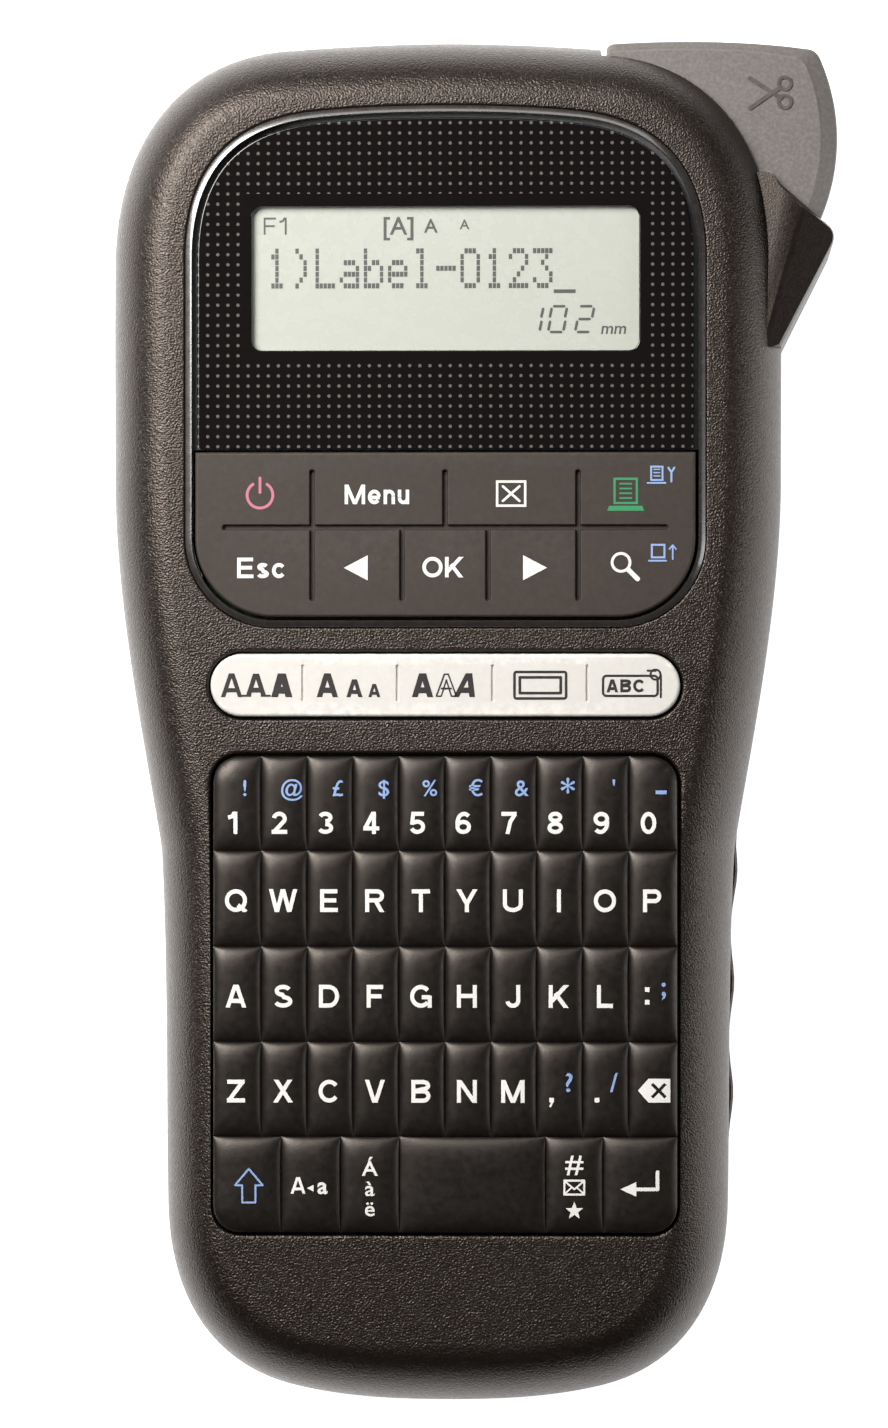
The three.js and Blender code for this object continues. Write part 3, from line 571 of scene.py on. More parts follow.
LCD_DARK = ink("lcd_segments", (0.06, 0.064, 0.06))

# ---------- Case shells ----------


def ripple(y):
    """Soft finger swellings on the sides of the rear case."""
    return GRIP_RIPPLE_HEIGHT * sum(np.exp(-(((y - middle) / 4.6) ** 2)) for middle in GRIP_RIPPLES_Y)


def form_from_rings(name, rings):
    """A closed body from half rings listed front to back, mirrored across x = 0."""
    last = len(rings[0]) - 1
    full = []
    for ring in rings:
        mirrored = ring[1:last][::-1] * [-1, 1, 1]
        full.append(np.vstack([ring, mirrored]))
    round_count = last * 2
    faces = []
    for r in range(len(rings) - 1):
        a = r * round_count
        for i in range(round_count):
            j = (i + 1) % round_count
            faces.append([a + i, a + j, a + round_count + j, a + round_count + i])
    end = (len(rings) - 1) * round_count
    for start, flip in ((0, False), (end, True)):
        for i in range(last):
            left = [start + (round_count - k) % round_count for k in (i, i + 1)]
            right = [start + i, start + i + 1]
            face = [right[0], left[0], left[1], right[1]]
            face = list(dict.fromkeys(face))
            faces.append(face[::-1] if flip else face)
    return make_piece(name, np.vstack(full), faces)


def ring_at(half, distance, z):
    moved = inset_half(half, distance)
    return np.column_stack([moved, np.broadcast_to(z, len(moved))])


def front_rings(shrink, steps=14):
    """Face first, then down the front rounding."""
    half = inset_half(body_half_outline(), shrink)
    rings = []
    for k in range(steps, -1, -1):
        turn = k / steps * math.pi / 2
        across = (ROUND_ACROSS - shrink) * (1 - math.cos(turn))
        deep = (FRONT_ROUND_DEEP - shrink) * (1 - math.sin(turn))
        rings.append(ring_at(half, across, FACE_Z - shrink - deep))
    return rings


def back_rings(shrink, rippled=False, steps=14):
    """From the side wall round to the back."""
    half = inset_half(body_half_outline(), shrink)
    rings = []
    for k in range(steps + 1):
        turn = k / steps * math.pi / 2
        across = (ROUND_ACROSS - shrink) * (1 - math.cos(turn))
        ring = inset_half(half, across)
        if rippled:
            ring = inset_half(half, across - ripple(half[:, 1]) * math.cos(turn) ** 0.7)
        lift = shrink + (BACK_ROUND_DEEP - shrink) * (1 - math.sin(turn))
        rings.append(np.column_stack([ring, back_height(inset_half(half, across)[:, 1]) + lift]))
    return rings


def inner_form():
    return form_from_rings("cutter", front_rings(WALL) + back_rings(WALL))


def lever_window():
    return block(23.4, 80, 67.2, 120, LEVER_LOW_Z - 0.6, LEVER_TOP_Z + 0.6)


def keyboard_outline():
    return rounded_rectangle(
        -KEYBOARD_HALF_WIDTH, KEYBOARD_HALF_WIDTH, KEYBOARD_LOW, KEYBOARD_HIGH, KEYBOARD_CORNER, 20
    )


def strip_outline():
    radius = (STRIP_HIGH - STRIP_LOW) / 2 - 0.02
    return rounded_rectangle(-STRIP_HALF_WIDTH, STRIP_HALF_WIDTH, STRIP_LOW, STRIP_HIGH, radius, 24)


def build_front_case():
    half = body_half_outline()
    low = PARTING_Z + PARTING_GAP / 2
    wall = [ring_at(half, 0, low + PARTING_BEVEL[1]), ring_at(half, PARTING_BEVEL[0], low)]
    shell = form_from_rings("case_front", front_rings(0) + wall)
    combine(shell, inner_form())
    combine(shell, opening_cutter(console_outline(), CUTTER_LOW_Z, FACE_Z))
    combine(shell, opening_cutter(inset(strip_outline(), -0.35), CUTTER_LOW_Z, FACE_Z, 0.5))
    combine(shell, opening_cutter(inset(keyboard_outline(), -0.35), CUTTER_LOW_Z, FACE_Z, 0.6))
    combine(shell, lever_window())
    place(finish_mesh(shell, CASE), "case", "case_black", "front_case")


LID_HALF_WIDTH, LID_LOW, LID_HIGH, LID_CORNER = 34.8, -76.0, 85.0, 6.0
POWER_INLET_YZ = (58, 22)
SCREW_SEAT_DEPTH = 2.1
SCREW_PLACES = {
    "screw_head_left": (-22, 95.8),
    "screw_head_right": (10, 95.8),
    "screw_tail_left": (-27, -84),
    "screw_tail_right": (27, -84),
}


def lid_outline(grow=0.0):
    w = LID_HALF_WIDTH + grow
    return rounded_rectangle(-w, w, LID_LOW - grow, LID_HIGH + grow, LID_CORNER + grow)


def rod_along_x(y, z, start, end, radius, sides=32):
    """A round cutter lying along X."""
    turn = np.radians(np.arange(sides) * 360 / sides)
    circle = np.column_stack([y + radius * np.cos(turn), z + radius * np.sin(turn)])
    ends = [np.column_stack([np.full(sides, x), circle]) for x in (start, end)]
    faces = [list(range(sides)), list(range(sides, 2 * sides))[::-1]]
    faces += [[i, i + sides, (i + 1) % sides + sides, (i + 1) % sides] for i in range(sides)]
    made = make_piece("cutter", np.vstack(ends), faces)
    bm = bmesh.new()
    bm.from_mesh(made.data)
    bmesh.ops.recalc_face_normals(bm, faces=bm.faces)
    bm.to_mesh(made.data)
    bm.free()
    return made


def build_rear_case():
    half = body_half_outline()
    swell = ripple(half[:, 1])
    top = PARTING_Z - PARTING_GAP / 2
    wall = [ring_at(half, PARTING_BEVEL[0] - swell, top), ring_at(half, -swell, top - PARTING_BEVEL[1])]
    shell = form_from_rings("case_rear", wall + back_rings(0, rippled=True))
    combine(shell, inner_form())
    combine(shell, loft("cutter", [(lid_outline(), -5), (lid_outline(), 26)]))
    combine(shell, lever_window())
    combine(shell, rod_along_x(*POWER_INLET_YZ, -60, -44, 4.2))
    for x, y in SCREW_PLACES.values():
        combine(shell, upright(x, y, -5, float(back_height(y)) + SCREW_SEAT_DEPTH, 2.9))
    place(finish_mesh(shell, CASE), "case", "case_black", "rear_case")


def build_rear_lid():
    """Cover over the cassette and the cells, with finger ridges."""
    half = body_half_outline()
    form = form_from_rings("cover_rear", [ring_at(half, 0, PARTING_Z)] + back_rings(0))
    combine(form, inner_form())
    form.location.z = PARTING_GAP * MM
    bpy.context.view_layer.update()
    form.data.transform(form.matrix_world)
    form.matrix_world = Matrix.Identity(4)
    outline = lid_outline(-PARTING_GAP)
    combine(form, loft("cutter", [(outline, -5), (outline, 26)]), "INTERSECT")
    for i in range(6):
        y = -54.0 - i * 3.0
        reach = 15.0 - 0.35 * (i - 2.5) ** 2
        low = GRIP_RISE - 0.6
        groove = slot_outline((-reach, y), (reach, y), 0.75)
        sections = [(inset(groove, -0.35), low - 2), (inset(groove, -0.35), low + 0.9), (groove, low + 1.5)]
        combine(form, loft("cutter", sections))
    place(finish_mesh(form, CASE), "rear_lid", "case_black", "rear_lid")


# ---------- Console: trim, lens and display ----------


def build_console():
    outline = console_outline()
    profile = [
        (0.02, 54.2),
        (0.02, 56.42),
        (0.08, 56.52),
        (0.2, 56.59),
        (0.6, 56.75),
        (0.9, 56.87),
        (1.0, 56.88),
        (1.06, 56.8),
        (1.1, 56.6),
        (1.12, 54.2),
    ]
    trim = ring_loft("console_rim", outline, profile)
    place(finish_mesh(trim, TRIM), "case", "trim_satin", "console_trim")

    tray = loft("console_tray", [(inset(outline, 0.9), 53.7), (inset(outline, 0.9), 54.6)])
    combine(tray, block(-DISPLAY_HALF_WIDTH, DISPLAY_HALF_WIDTH, DISPLAY_LOW, DISPLAY_HIGH, 50, 60))
    combine(tray, block(-60, 60, -10, 40.5, 50, 60))
    place(finish_mesh(tray, INNER), "case", "inner_plastic")

    lens = loft("lens", round_over(inset(outline, 1.85), 55.5, 56.6, 0.26))
    combine(lens, block(-60, 60, 0, 40.75, 50, 60))
    window = rounded_rectangle(-DISPLAY_HALF_WIDTH, DISPLAY_HALF_WIDTH, DISPLAY_LOW, DISPLAY_HIGH, 1.6)
    combine(lens, opening_cutter(window, 50, 56.6, 0.18))
    place(finish_mesh(lens, LENS), "case", "lens_black", "display_window")

    panel_outline = rounded_rectangle(-31, 31, 54, 79, 1)
    panel = loft("display_panel", round_over(panel_outline, 54.75, 55.35, 0.1, 3))
    place(finish_mesh(panel, DISPLAY), "case", "lcd_glass", "lcd_module")


# ---------- Grotesque letters drawn as strokes ----------


def oval(x, y, rx, ry, start=0, end=360, count=20):
    """Points on an ellipse, turning anticlockwise when end is above start."""
    turn = np.radians(np.linspace(start, end, count))
    return np.column_stack([x + rx * np.cos(turn), y + ry * np.sin(turn)])


def leaning(x_low, x_high):
    """A straight stroke given by its x at the baseline and at the top, run on past both to be trimmed."""
    step = (x_high - x_low) * 0.25
    return [(x_low - step, -0.25), (x_high + step, 1.25)]


def stem(x, low=0, high=1):
    return [(x, low), (x, high)]


def bar(y, end, start=0):
    return [(start, y), (end, y)]


def bowl(x, start, end, *ellipse):
    """A stroke out of a stem, round the right side of an ellipse and back to the stem."""
    return np.vstack([[(x, start)], oval(*ellipse, 90, -90), [(x, end)]])


X_HEIGHT = 0.74  # of small letters, in capitals


def letter_strokes(letter, w):
    """Width, height and stroke lines of a glyph one capital high, for strokes of width w."""
    h = w / 2
    top, low = 1 - h, h
    if letter in "cs":
        width, _, lines = letter_strokes(letter.upper(), w / X_HEIGHT)
        return width * 0.70, X_HEIGHT, [np.array(line) * [0.70, X_HEIGHT] for line in lines]
    if letter == "e":
        ring = oval(0.34, 0.37, 0.34 - h, 0.37 - h, 3, 322)
        return 0.68, X_HEIGHT, [ring, bar(0.34, 0.62, 0.06)]
    if letter in "nu":
        lines = [stem(h, 0, X_HEIGHT), stem(0.6 - h, 0, 0.4), oval(0.3, 0.43, 0.3 - h, 0.31 - h, 0, 180)]
        if letter == "u":
            lines = [np.array([0.6, X_HEIGHT]) - np.array(line) for line in lines]
        return 0.6, X_HEIGHT, lines
    spine = np.vstack(
        [
            oval(0.43, 0.735, 0.385 - h, 0.265 - h, 20, 262, 18),
            oval(0.43, 0.275, 0.43 - h, 0.275 - h, 82, -162, 18),
        ]
    )
    rounded_two = np.vstack([oval(0.37, 0.69, 0.35 - h, 0.31 - h, 172, -38), [(h * 1.2, low)]])
    cup = np.vstack([[(h, 1)], oval(0.46, 0.36, 0.46 - h, 0.36 - h, 180, 360), [(0.92 - h, 1)]])
    hook = np.vstack([[(0.68 - h, 1)], oval(0.34, 0.3, 0.34 - h, 0.3 - h, 0, -176)])
    ring = oval(0.51, 0.5, 0.51 - h, 0.5 - h, 0, 360, 36)
    table = {
        "A": (0.96, leaning(h * 1.1, 0.455), leaning(0.96 - h * 1.1, 0.505), bar(0.29, 0.76, 0.2)),
        "B": (
            0.88,
            stem(h),
            bowl(h, top, 0.5, 0.52, 0.75, 0.29 - h * 0.4, 0.25 - h),
            bowl(h, 0.5, low, 0.54, 0.25 + h / 2, 0.34 - h, 0.25 - h / 2),
        ),
        "C": (0.96, oval(0.49, 0.5, 0.49 - h, 0.5 - h, 38, 322, 28)),
        "D": (0.93, stem(h), bowl(h, top, low, 0.46, 0.5, 0.47 - h, 0.5 - h)),
        "E": (0.82, stem(h), bar(top, 0.8), bar(0.51, 0.75), bar(low, 0.82)),
        "F": (0.76, stem(h), bar(top, 0.76), bar(0.5, 0.68)),
        "G": (
            1.0,
            oval(0.5, 0.5, 0.5 - h, 0.5 - h, 40, 318, 28),
            bar(0.46, 1 - h, 0.54),
            stem(1 - h, 0.53, 0),
        ),
        "H": (0.92, stem(h), stem(0.92 - h), bar(0.52, 0.92)),
        "I": (w, stem(h)),
        "J": (0.68, hook),
        "K": (0.94, stem(h), [(h, 0.24), (0.95, 1.14)], [(0.3, 0.64), (0.93, -0.16)]),
        "L": (0.74, stem(h), bar(low, 0.74)),
        "M": (1.08, stem(h), stem(1.08 - h), leaning(0.54, h + 0.01), leaning(0.54, 1.07 - h)),
        "N": (0.92, stem(h), stem(0.92 - h), leaning(0.92 - h, h)),
        "O": (1.02, ring),
        "P": (0.84, stem(h), bowl(h, top, 0.4 + h, 0.54, 0.7, 0.3 - h, 0.3 - h)),
        "Q": (1.02, ring, [(0.6, 0.3), (0.98, 0.0)]),
        "R": (
            0.9,
            stem(h),
            bowl(h, top, 0.42 + h, 0.56, 0.71, 0.31 - h, 0.29 - h),
            [(0.48, 0.5), (0.9 - h * 0.7, -0.1)],
        ),
        "S": (0.86, spine),
        "T": (0.84, bar(top, 0.84), stem(0.42)),
        "U": (0.92, cup),
        "V": (0.92, leaning(0.435, h * 1.05), leaning(0.485, 0.92 - h * 1.05)),
        "W": (1.3, leaning(0.36, h), leaning(0.37, 0.64), leaning(0.93, 0.66), leaning(0.94, 1.3 - h)),
        "X": (0.92, leaning(h * 1.2, 0.9 - h * 1.3), leaning(0.92 - h * 1.2, 0.02 + h * 1.3)),
        "Y": (0.92, stem(0.46, 0, 0.45), [(0.46, 0.36), (-0.04, 1.2)], [(0.46, 0.36), (0.96, 1.2)]),
        "Z": (0.84, bar(top, 0.82, 0.02), bar(low, 0.84), [(h * 1.1, low), (0.83 - h * 1.1, top)]),
        "0": (0.74, oval(0.37, 0.5, 0.37 - h, 0.5 - h, 0, 360, 32)),
        "1": (0.48, stem(0.48 - h), [(0.04, 0.74), (0.26, 0.8), (0.48 - h, 1.1)]),
        "2": (0.74, rounded_two, bar(low, 0.74)),
        "3": (
            0.74,
            oval(0.37, 0.74, 0.34 - h, 0.26 - h, 160, -90),
            oval(0.37, 0.27, 0.37 - h, 0.27 - h, 90, -160),
        ),
        "4": (0.76, stem(0.6 - h), bar(0.25, 0.76), [(h * 0.9, 0.25), (0.6 - h, 1.02)]),
        "5": (
            0.74,
            bar(top, 0.69, 0.13),
            [(0.19, 1), (0.12, 0.42)],
            oval(0.37, 0.325, 0.37 - h, 0.325 - h, 128, -160),
        ),
        "6": (0.74, oval(0.37, 0.32, 0.37 - h, 0.32 - h), oval(0.41, 0.5, 0.41 - h, 0.5 - h, 48, 196)),
        "7": (0.74, bar(top, 0.72), [(0.7 - h / 2, top), (0.42, 0.55), (0.26, -0.1)]),
        "8": (0.74, oval(0.37, 0.755, 0.33 - h, 0.245 - h * 0.9), oval(0.37, 0.28, 0.37 - h, 0.28 - h)),
    }
    if letter == "9":
        width, height, lines = letter_strokes("6", w)
        return width, height, [np.array([width, height]) - np.array(line) for line in lines]
    width, *lines = table[letter]
    return width, 1.0, lines


def ribbon(line, w):
    """Both sides of a stroke's centre line, with mitred bends."""
    line = np.asarray(line, float)
    steps = np.diff(line, axis=0)
    steps /= np.linalg.norm(steps, axis=1)[:, None]
    before, after = np.vstack([steps[:1], steps]), np.vstack([steps, steps[-1:]])
    if np.allclose(line[0], line[-1]):
        before[0], after[-1] = steps[-1], steps[0]
    along = before + after
    along /= np.linalg.norm(along, axis=1)[:, None]
    stretch = np.clip(1 / np.maximum(np.abs((along * after).sum(axis=1)), 0.4), 1, 2.2)
    side = np.column_stack([-along[:, 1], along[:, 0]]) * (stretch * w / 2)[:, None]
    return line - side, line + side


# ---------- Flat printing: legends and icons ----------


def letter_curve(text, offset):
    """The faces of a text in the built-in font, its strokes widened by an offset."""
    curve = bpy.data.curves.new("letters", "FONT")
    curve.body = text
    curve.size = 1.0
    curve.align_x = "CENTER"
    curve.offset = offset
    curve.resolution_u = 5
    holder = bpy.data.objects.new("letters", curve)
    bpy.context.scene.collection.objects.link(holder)
    graph = bpy.context.evaluated_depsgraph_get()
    mesh = bpy.data.meshes.new_from_object(holder.evaluated_get(graph))
    bm = bmesh.new()
    bm.from_mesh(mesh)
    bpy.data.objects.remove(holder)
    bpy.data.curves.remove(curve)
    bpy.data.meshes.remove(mesh)
    return bm


def cap_height():
    bm = letter_curve("H", 0)
    height = max(v.co.y for v in bm.verts) - min(v.co.y for v in bm.verts)
    bm.free()
    return height


CAP = cap_height()


def trim(bm, point, outward):
    """Cuts away everything beyond a plane and returns the edges of the cut."""
    everything = bm.verts[:] + bm.edges[:] + bm.faces[:]
    cut = bmesh.ops.bisect_plane(
        bm, geom=everything, plane_co=Vector(point), plane_no=Vector(outward), clear_outer=True
    )
    return [g for g in cut["geom_cut"] if isinstance(g, bmesh.types.BMEdge)]


PRINT_LAYERS = 6  # shapes that cross each other lie on slightly different levels
PRINT_LAYER_STEP = 0.0025


class Print:
    """A set of flat printed shapes in one colour, later laid on a surface."""

    def __init__(self):
        self.bm = bmesh.new()
        self.layer = 0

    def take(self, other, matrix):
        mesh = bpy.data.meshes.new("part")
        other.to_mesh(mesh)
        other.free()
        mesh.transform(matrix)
        self.bm.from_mesh(mesh)
        bpy.data.meshes.remove(mesh)

    def text(self, words, x, y, height, bold, stretch=1.0, slant=0.0):
        """Text of a given capital height, centred on x, with the middle of its capitals at y."""
        bm = letter_curve(words, bold)
        scale = height / (CAP + 2 * bold)
        middle = (max(v.co.x for v in bm.verts) + min(v.co.x for v in bm.verts)) / 2
        bmesh.ops.translate(bm, verts=bm.verts, vec=(-middle, 0, 0))
        lean = Matrix.Identity(4)
        lean[0][1] = slant
        size = Matrix.Diagonal((scale * stretch, scale, 1, 1))
        shift = Matrix.Translation((x, y - CAP * scale / 2, 0))
        self.take(bm, shift @ lean @ size)

    def letters(self, words, x, y, height, weight=0.185, stretch=0.95, slant=0.0, gap=0.17):
        """Stroke letters centred on x, with the middle of their capitals at y."""
        drawn = [letter_strokes(letter, weight) for letter in words]
        total = sum(width for width, _, _ in drawn) + gap * (len(words) - 1)
        start = -total / 2
        size = Matrix.Diagonal((height * stretch, height, 1, 1))
        lean = Matrix.Identity(4)
        lean[0][1] = slant
        for width, tall, lines in drawn:
            for line in lines:
                self.layer += 1
                right, left = ribbon(line, weight)
                bm = bmesh.new()
                level = self.layer % PRINT_LAYERS
                right, left = ([bm.verts.new((*p, level)) for p in side] for side in (right, left))
                for i in range(len(right) - 1):
                    bm.faces.new((right[i], right[i + 1], left[i + 1], left[i]))
                bmesh.ops.remove_doubles(bm, verts=bm.verts, dist=1e-5)
                for edge_y, side in ((0, -1), (tall, 1)):
                    trim(bm, (0, edge_y, 0), (0, side, 0))
                placed = Matrix.Translation((x, y - height / 2, 0)) @ lean @ size
                self.take(bm, placed @ Matrix.Translation((start, 0, 0)))
            start += width + gap

    def area(self, outer, *holes):
        self.layer += 1
        loops = [[Vector((*p, self.layer % PRINT_LAYERS)) for p in loop] for loop in (outer, *holes)]
        corners = [self.bm.verts.new(p) for loop in loops for p in loop]
        for triangle in tessellate_polygon(loops):
            self.bm.faces.new([corners[i] for i in triangle])

    def ring(self, x, y, radius, width, start=0, end=360, count=40):
        inner = arc((x, y), radius - width / 2, start, end, count)
        outer = arc((x, y), radius + width / 2, start, end, count)
        if end - start >= 360:
            self.area(outer[:-1], inner[:-1][::-1])
        else:
            self.area(np.vstack([outer, inner[::-1]]))

    def stroke(self, points, width):
        for a, b in zip(points[:-1], points[1:]):
            self.area(slot_outline(a, b, width / 2, 6))

    def frame(self, x0, x1, y0, y1, width, radius=0.05):
        outer = rounded_rectangle(x0, x1, y0, y1, radius, 6)
        w, inner_radius = width, max(radius - width, 0.03)
        self.area(outer, rounded_rectangle(x0 + w, x1 - w, y0 + w, y1 - w, inner_radius, 6)[::-1])

    def lay(self, name, body, slot, material, surface, thickness=0.035, cut=0.0):
        """Gives the print a thickness and drops it on a surface height z(x, y)."""
        bm = self.bm
        bmesh.ops.triangulate(bm, faces=bm.faces)
        bmesh.ops.recalc_face_normals(bm, faces=bm.faces)
        for face in bm.faces:
            if face.normal.z < 0:
                face.normal_flip()
        if cut:
            for axis in (0, 1):
                values = [v.co[axis] for v in bm.verts]
                for k in range(math.ceil(min(values) / cut), math.floor(max(values) / cut) + 1):
                    point, normal = Vector((0, 0, 0)), Vector((0, 0, 0))
                    point[axis], normal[axis] = k * cut, 1
                    geometry = bm.verts[:] + bm.edges[:] + bm.faces[:]
                    bmesh.ops.bisect_plane(bm, geom=geometry, plane_co=point, plane_no=normal, dist=1e-5)
        bm.verts.index_update()
        flat_points = np.array([v.co for v in bm.verts])
        base = surface(flat_points[:, 0], flat_points[:, 1])
        low, high = flat_points.copy(), flat_points.copy()
        low[:, 2] = base - thickness
        high[:, 2] = base + thickness + flat_points[:, 2] * PRINT_LAYER_STEP
        points = np.vstack([low, high])
        count = len(flat_points)
        faces = []
        for face in bm.faces:
            corners = [v.index for v in face.verts]
            faces += [[c + count for c in corners], corners[::-1]]
            for loop in face.loops:
                if loop.edge.is_boundary:
                    a, b = loop.vert.index, loop.link_loop_next.vert.index
                    faces.append([a, b, b + count, a + count])
        piece = make_piece(name, points, faces, material)
        bm.free()
        piece.data.shade_flat()
        return place(piece, body, slot)


def flat(z):
    return lambda x, y: np.full(len(x), z)


# ---------- Display contents ----------

DOT_GLYPHS = {
    "0": (".###.", "#...#", "#...#", "#...#", "#...#", "#...#", ".###."),
    "1": ("..#..", ".##..", "..#..", "..#..", "..#..", "..#..", ".###."),
    "2": (".###.", "#...#", "....#", "...#.", "..#..", ".#...", "#####"),
    "3": ("#####", "...#.", "..#..", "...#.", "....#", "#...#", ".###."),
    "L": ("#....", "#....", "#....", "#....", "#....", "#....", "#####"),
    "a": (".....", ".....", ".###.", "....#", ".####", "#...#", ".####"),
    "b": ("#....", "#....", "#.##.", "##..#", "#...#", "#...#", "####."),
    "e": (".....", ".....", ".###.", "#...#", "#####", "#....", ".###."),
    "l": (".##..", "..#..", "..#..", "..#..", "..#..", "..#..", ".###."),
    ")": (".#...", "..#..", "...#.", "...#.", "...#.", "..#..", ".#..."),
    "-": (".....", ".....", ".....", "#####", ".....", ".....", "....."),
}
SEGMENTS = {"1": "bc", "0": "abcdef", "2": "abged"}


def dot_text(prints, text, x, y, dot, tall, gap):
    """Dot-matrix letters with their top left corner at x, y."""
    step, drop = dot + gap, tall + gap
    for place_index, letter in enumerate(text):
        for row, line in enumerate(DOT_GLYPHS[letter]):
            for column, mark in enumerate(line):
                if mark == "#":
                    left = x + (place_index * 6 + column) * step
                    right, high = left + dot, y - row * drop
                    low = high - tall
                    prints.area([(left, low), (right, low), (right, high), (left, high)])


def seven_segment(prints, digit, x, y, width, height, stroke):
    """One slanted seven-segment digit, lower left corner at x, y."""
    lean = 0.12
    middle = height / 2
    ends = {
        "a": ((0, height), (width, height)),
        "b": ((width, middle), (width, height)),
        "c": ((width, 0), (width, middle)),
        "d": ((0, 0), (width, 0)),
        "e": ((0, 0), (0, middle)),
        "f": ((0, middle), (0, height)),
        "g": ((0, middle), (width, middle)),
    }
    for segment in SEGMENTS[digit]:
        (ax, ay), (bx, by) = ends[segment]
        length = math.hypot(bx - ax, by - ay)
        ux, uy = (bx - ax) / length, (by - ay) / length
        start = (x + ax + ux * stroke + ay * lean, y + ay + uy * stroke)
        end = (x + bx - ux * stroke + by * lean, y + by - uy * stroke)
        prints.stroke([start, end], stroke)


def build_display_contents():
    prints = Print()
    prints.letters("F1", -25.8, 74.4, 2.6, 0.115)
    prints.text("[A]", -7.1, 74.4, 2.7, 0.012)
    prints.text("A", -2.2, 74.4, 2.1, 0.012)
    prints.text("A", 2.9, 74.6, 1.5, 0.01)
    dot_text(prints, "1)Label-0123", -27.0, 71.0, 0.5, 0.77, 0.11)
    prints.area([(16.4, 64.2), (19.7, 64.2), (19.7, 64.75), (16.4, 64.75)])
    for digit, x in (("1", 12.0), ("0", 15.6), ("2", 19.7)):
        seven_segment(prints, digit, x, 58.3, 2.3, 3.9, 0.4)
    prints.text("mm", 25.4, 58.9, 1.8, 0.01, slant=0.15)
    prints.lay("display_segments", "case", "lcd_glass", LCD_DARK, flat(55.36), 0.02)


# ---------- Control pad ----------


def groove_cutter(a, b, top, half_width=0.36, depth=0.85):
    """A narrow channel with softened shoulders and round ends."""
    steps = [(half_width * 0.85, -depth), (half_width, -depth * 0.7), (half_width, -0.22)]
    steps += [(half_width + 0.07, -0.08), (half_width + 0.2, 0.0), (half_width + 0.2, 1.0)]
    return loft("cutter", [(slot_outline(a, b, w), top + z) for w, z in steps])


def cut_into_keys(pad, cells, material, slot):
    """Cuts a pad into key pieces: cells are {name: (x0, x1, y0, y1)}."""
    for name, (x0, x1, y0, y1) in cells.items():
        cell = block(x0 + SEAM / 2, x1 - SEAM / 2, y0 + SEAM / 2, y1 - SEAM / 2, CUTTER_LOW_Z, CUTTER_HIGH_Z)
        key = combine(copy_of(pad, name + "_cap"), cell, "INTERSECT")
        place(finish_mesh(key, material), name, slot, name)
    mesh = pad.data
    bpy.data.objects.remove(pad)
    bpy.data.meshes.remove(mesh)


CONTROL_COLUMNS = (
    (("key_power", "key_menu", "key_cancel", "key_print"), (-50, -20.1, 0, 20.1, 50)),
    (("key_escape", "key_left", "key_ok", "key_right", "key_preview"), (-50, -20.1, -6.5, 6.5, 20.1, 50)),
)


def build_control_pad():
    pad_low, pad_high = CONTROL_ROWS_Y[2] - 0.25, CONTROL_ROWS_Y[0]
    middle = CONTROL_ROWS_Y[1]
    pad = loft("pad", round_over(inset(console_outline(), 1.55), KEY_FOOT_Z, KEY_TOP_Z, 0.45))
    upper = rounded_rectangle(-45, 45, 5, pad_high, 0.5)
    combine(pad, loft("cutter", round_over(upper, 40, KEY_TOP_Z, 0.4)), "INTERSECT")
    combine(pad, groove_cutter((-33.3, middle), (33.3, middle), KEY_TOP_Z))
    for x in CONTROL_COLUMNS[0][1][1:-1]:
        combine(pad, groove_cutter((x, middle), (x, pad_high - 3.1), KEY_TOP_Z))
    for x in CONTROL_COLUMNS[1][1][1:-1]:
        combine(pad, groove_cutter((x, middle), (x, pad_low + 2.9), KEY_TOP_Z))
    cells = {}
    for (names, columns), low, high in zip(CONTROL_COLUMNS, (middle, 0), (pad_high + 5, middle)):
        for name, x0, x1 in zip(names, columns[:-1], columns[1:]):
            cells[name] = (x0, x1, low, high)
    cut_into_keys(pad, cells, RUBBER_DARK, "key_dark")


def draw_print(prints):
    """A sheet with lines on it standing in a tray."""
    x, y = 27.3, 33.7
    prints.frame(x - 1.85, x + 1.85, y - 1.5, y + 2.5, 0.34)
    for k in range(4):
        prints.area(rounded_rectangle(x - 0.95, x + 0.95, y + 1.45 - 0.72 * k, y + 1.7 - 0.72 * k, 0.05, 3))
    prints.area([(x - 2.8, y - 2.5), (x + 2.8, y - 2.5), (x + 2.5, y - 1.75), (x - 2.5, y - 1.75)])


def draw_power(prints):
    x, y = -28.0, 33.6
    prints.ring(x, y, 1.95, 0.42, 118, 422)
    prints.stroke([(x, y + 0.4), (x, y + 2.6)], 0.42)


def draw_cancel(prints):
    x, y = 10.0, 33.8
    prints.frame(x - 2.3, x + 2.3, y - 2.0, y + 2.0, 0.36)
    prints.stroke([(x - 1.25, y - 1.1), (x + 1.25, y + 1.1)], 0.36)
    prints.stroke([(x - 1.25, y + 1.1), (x + 1.25, y - 1.1)], 0.36)


def draw_magnifier(prints):
    x, y = 26.6, 23.4
    prints.ring(x, y, 1.35, 0.42)
    prints.stroke([(x + 1.1, y - 1.1), (x + 2.5, y - 2.5)], 0.72)


def draw_setup_mark(prints):
    x, y = 32.0, 36.6
    prints.frame(x - 1.0, x + 1.0, y - 0.9, y + 1.4, 0.28)
    for k in range(3):
        prints.stroke([(x - 0.45, y + 0.85 - 0.5 * k), (x + 0.45, y + 0.85 - 0.5 * k)], 0.18)
    prints.stroke([(x - 1.4, y - 1.2), (x + 1.3, y - 1.2)], 0.26)
    prints.stroke([(x + 2.2, y - 1.0), (x + 2.2, y + 0.3)], 0.3)
    prints.stroke([(x + 1.75, y + 1.1), (x + 2.2, y + 0.4), (x + 2.65, y + 1.1)], 0.3)


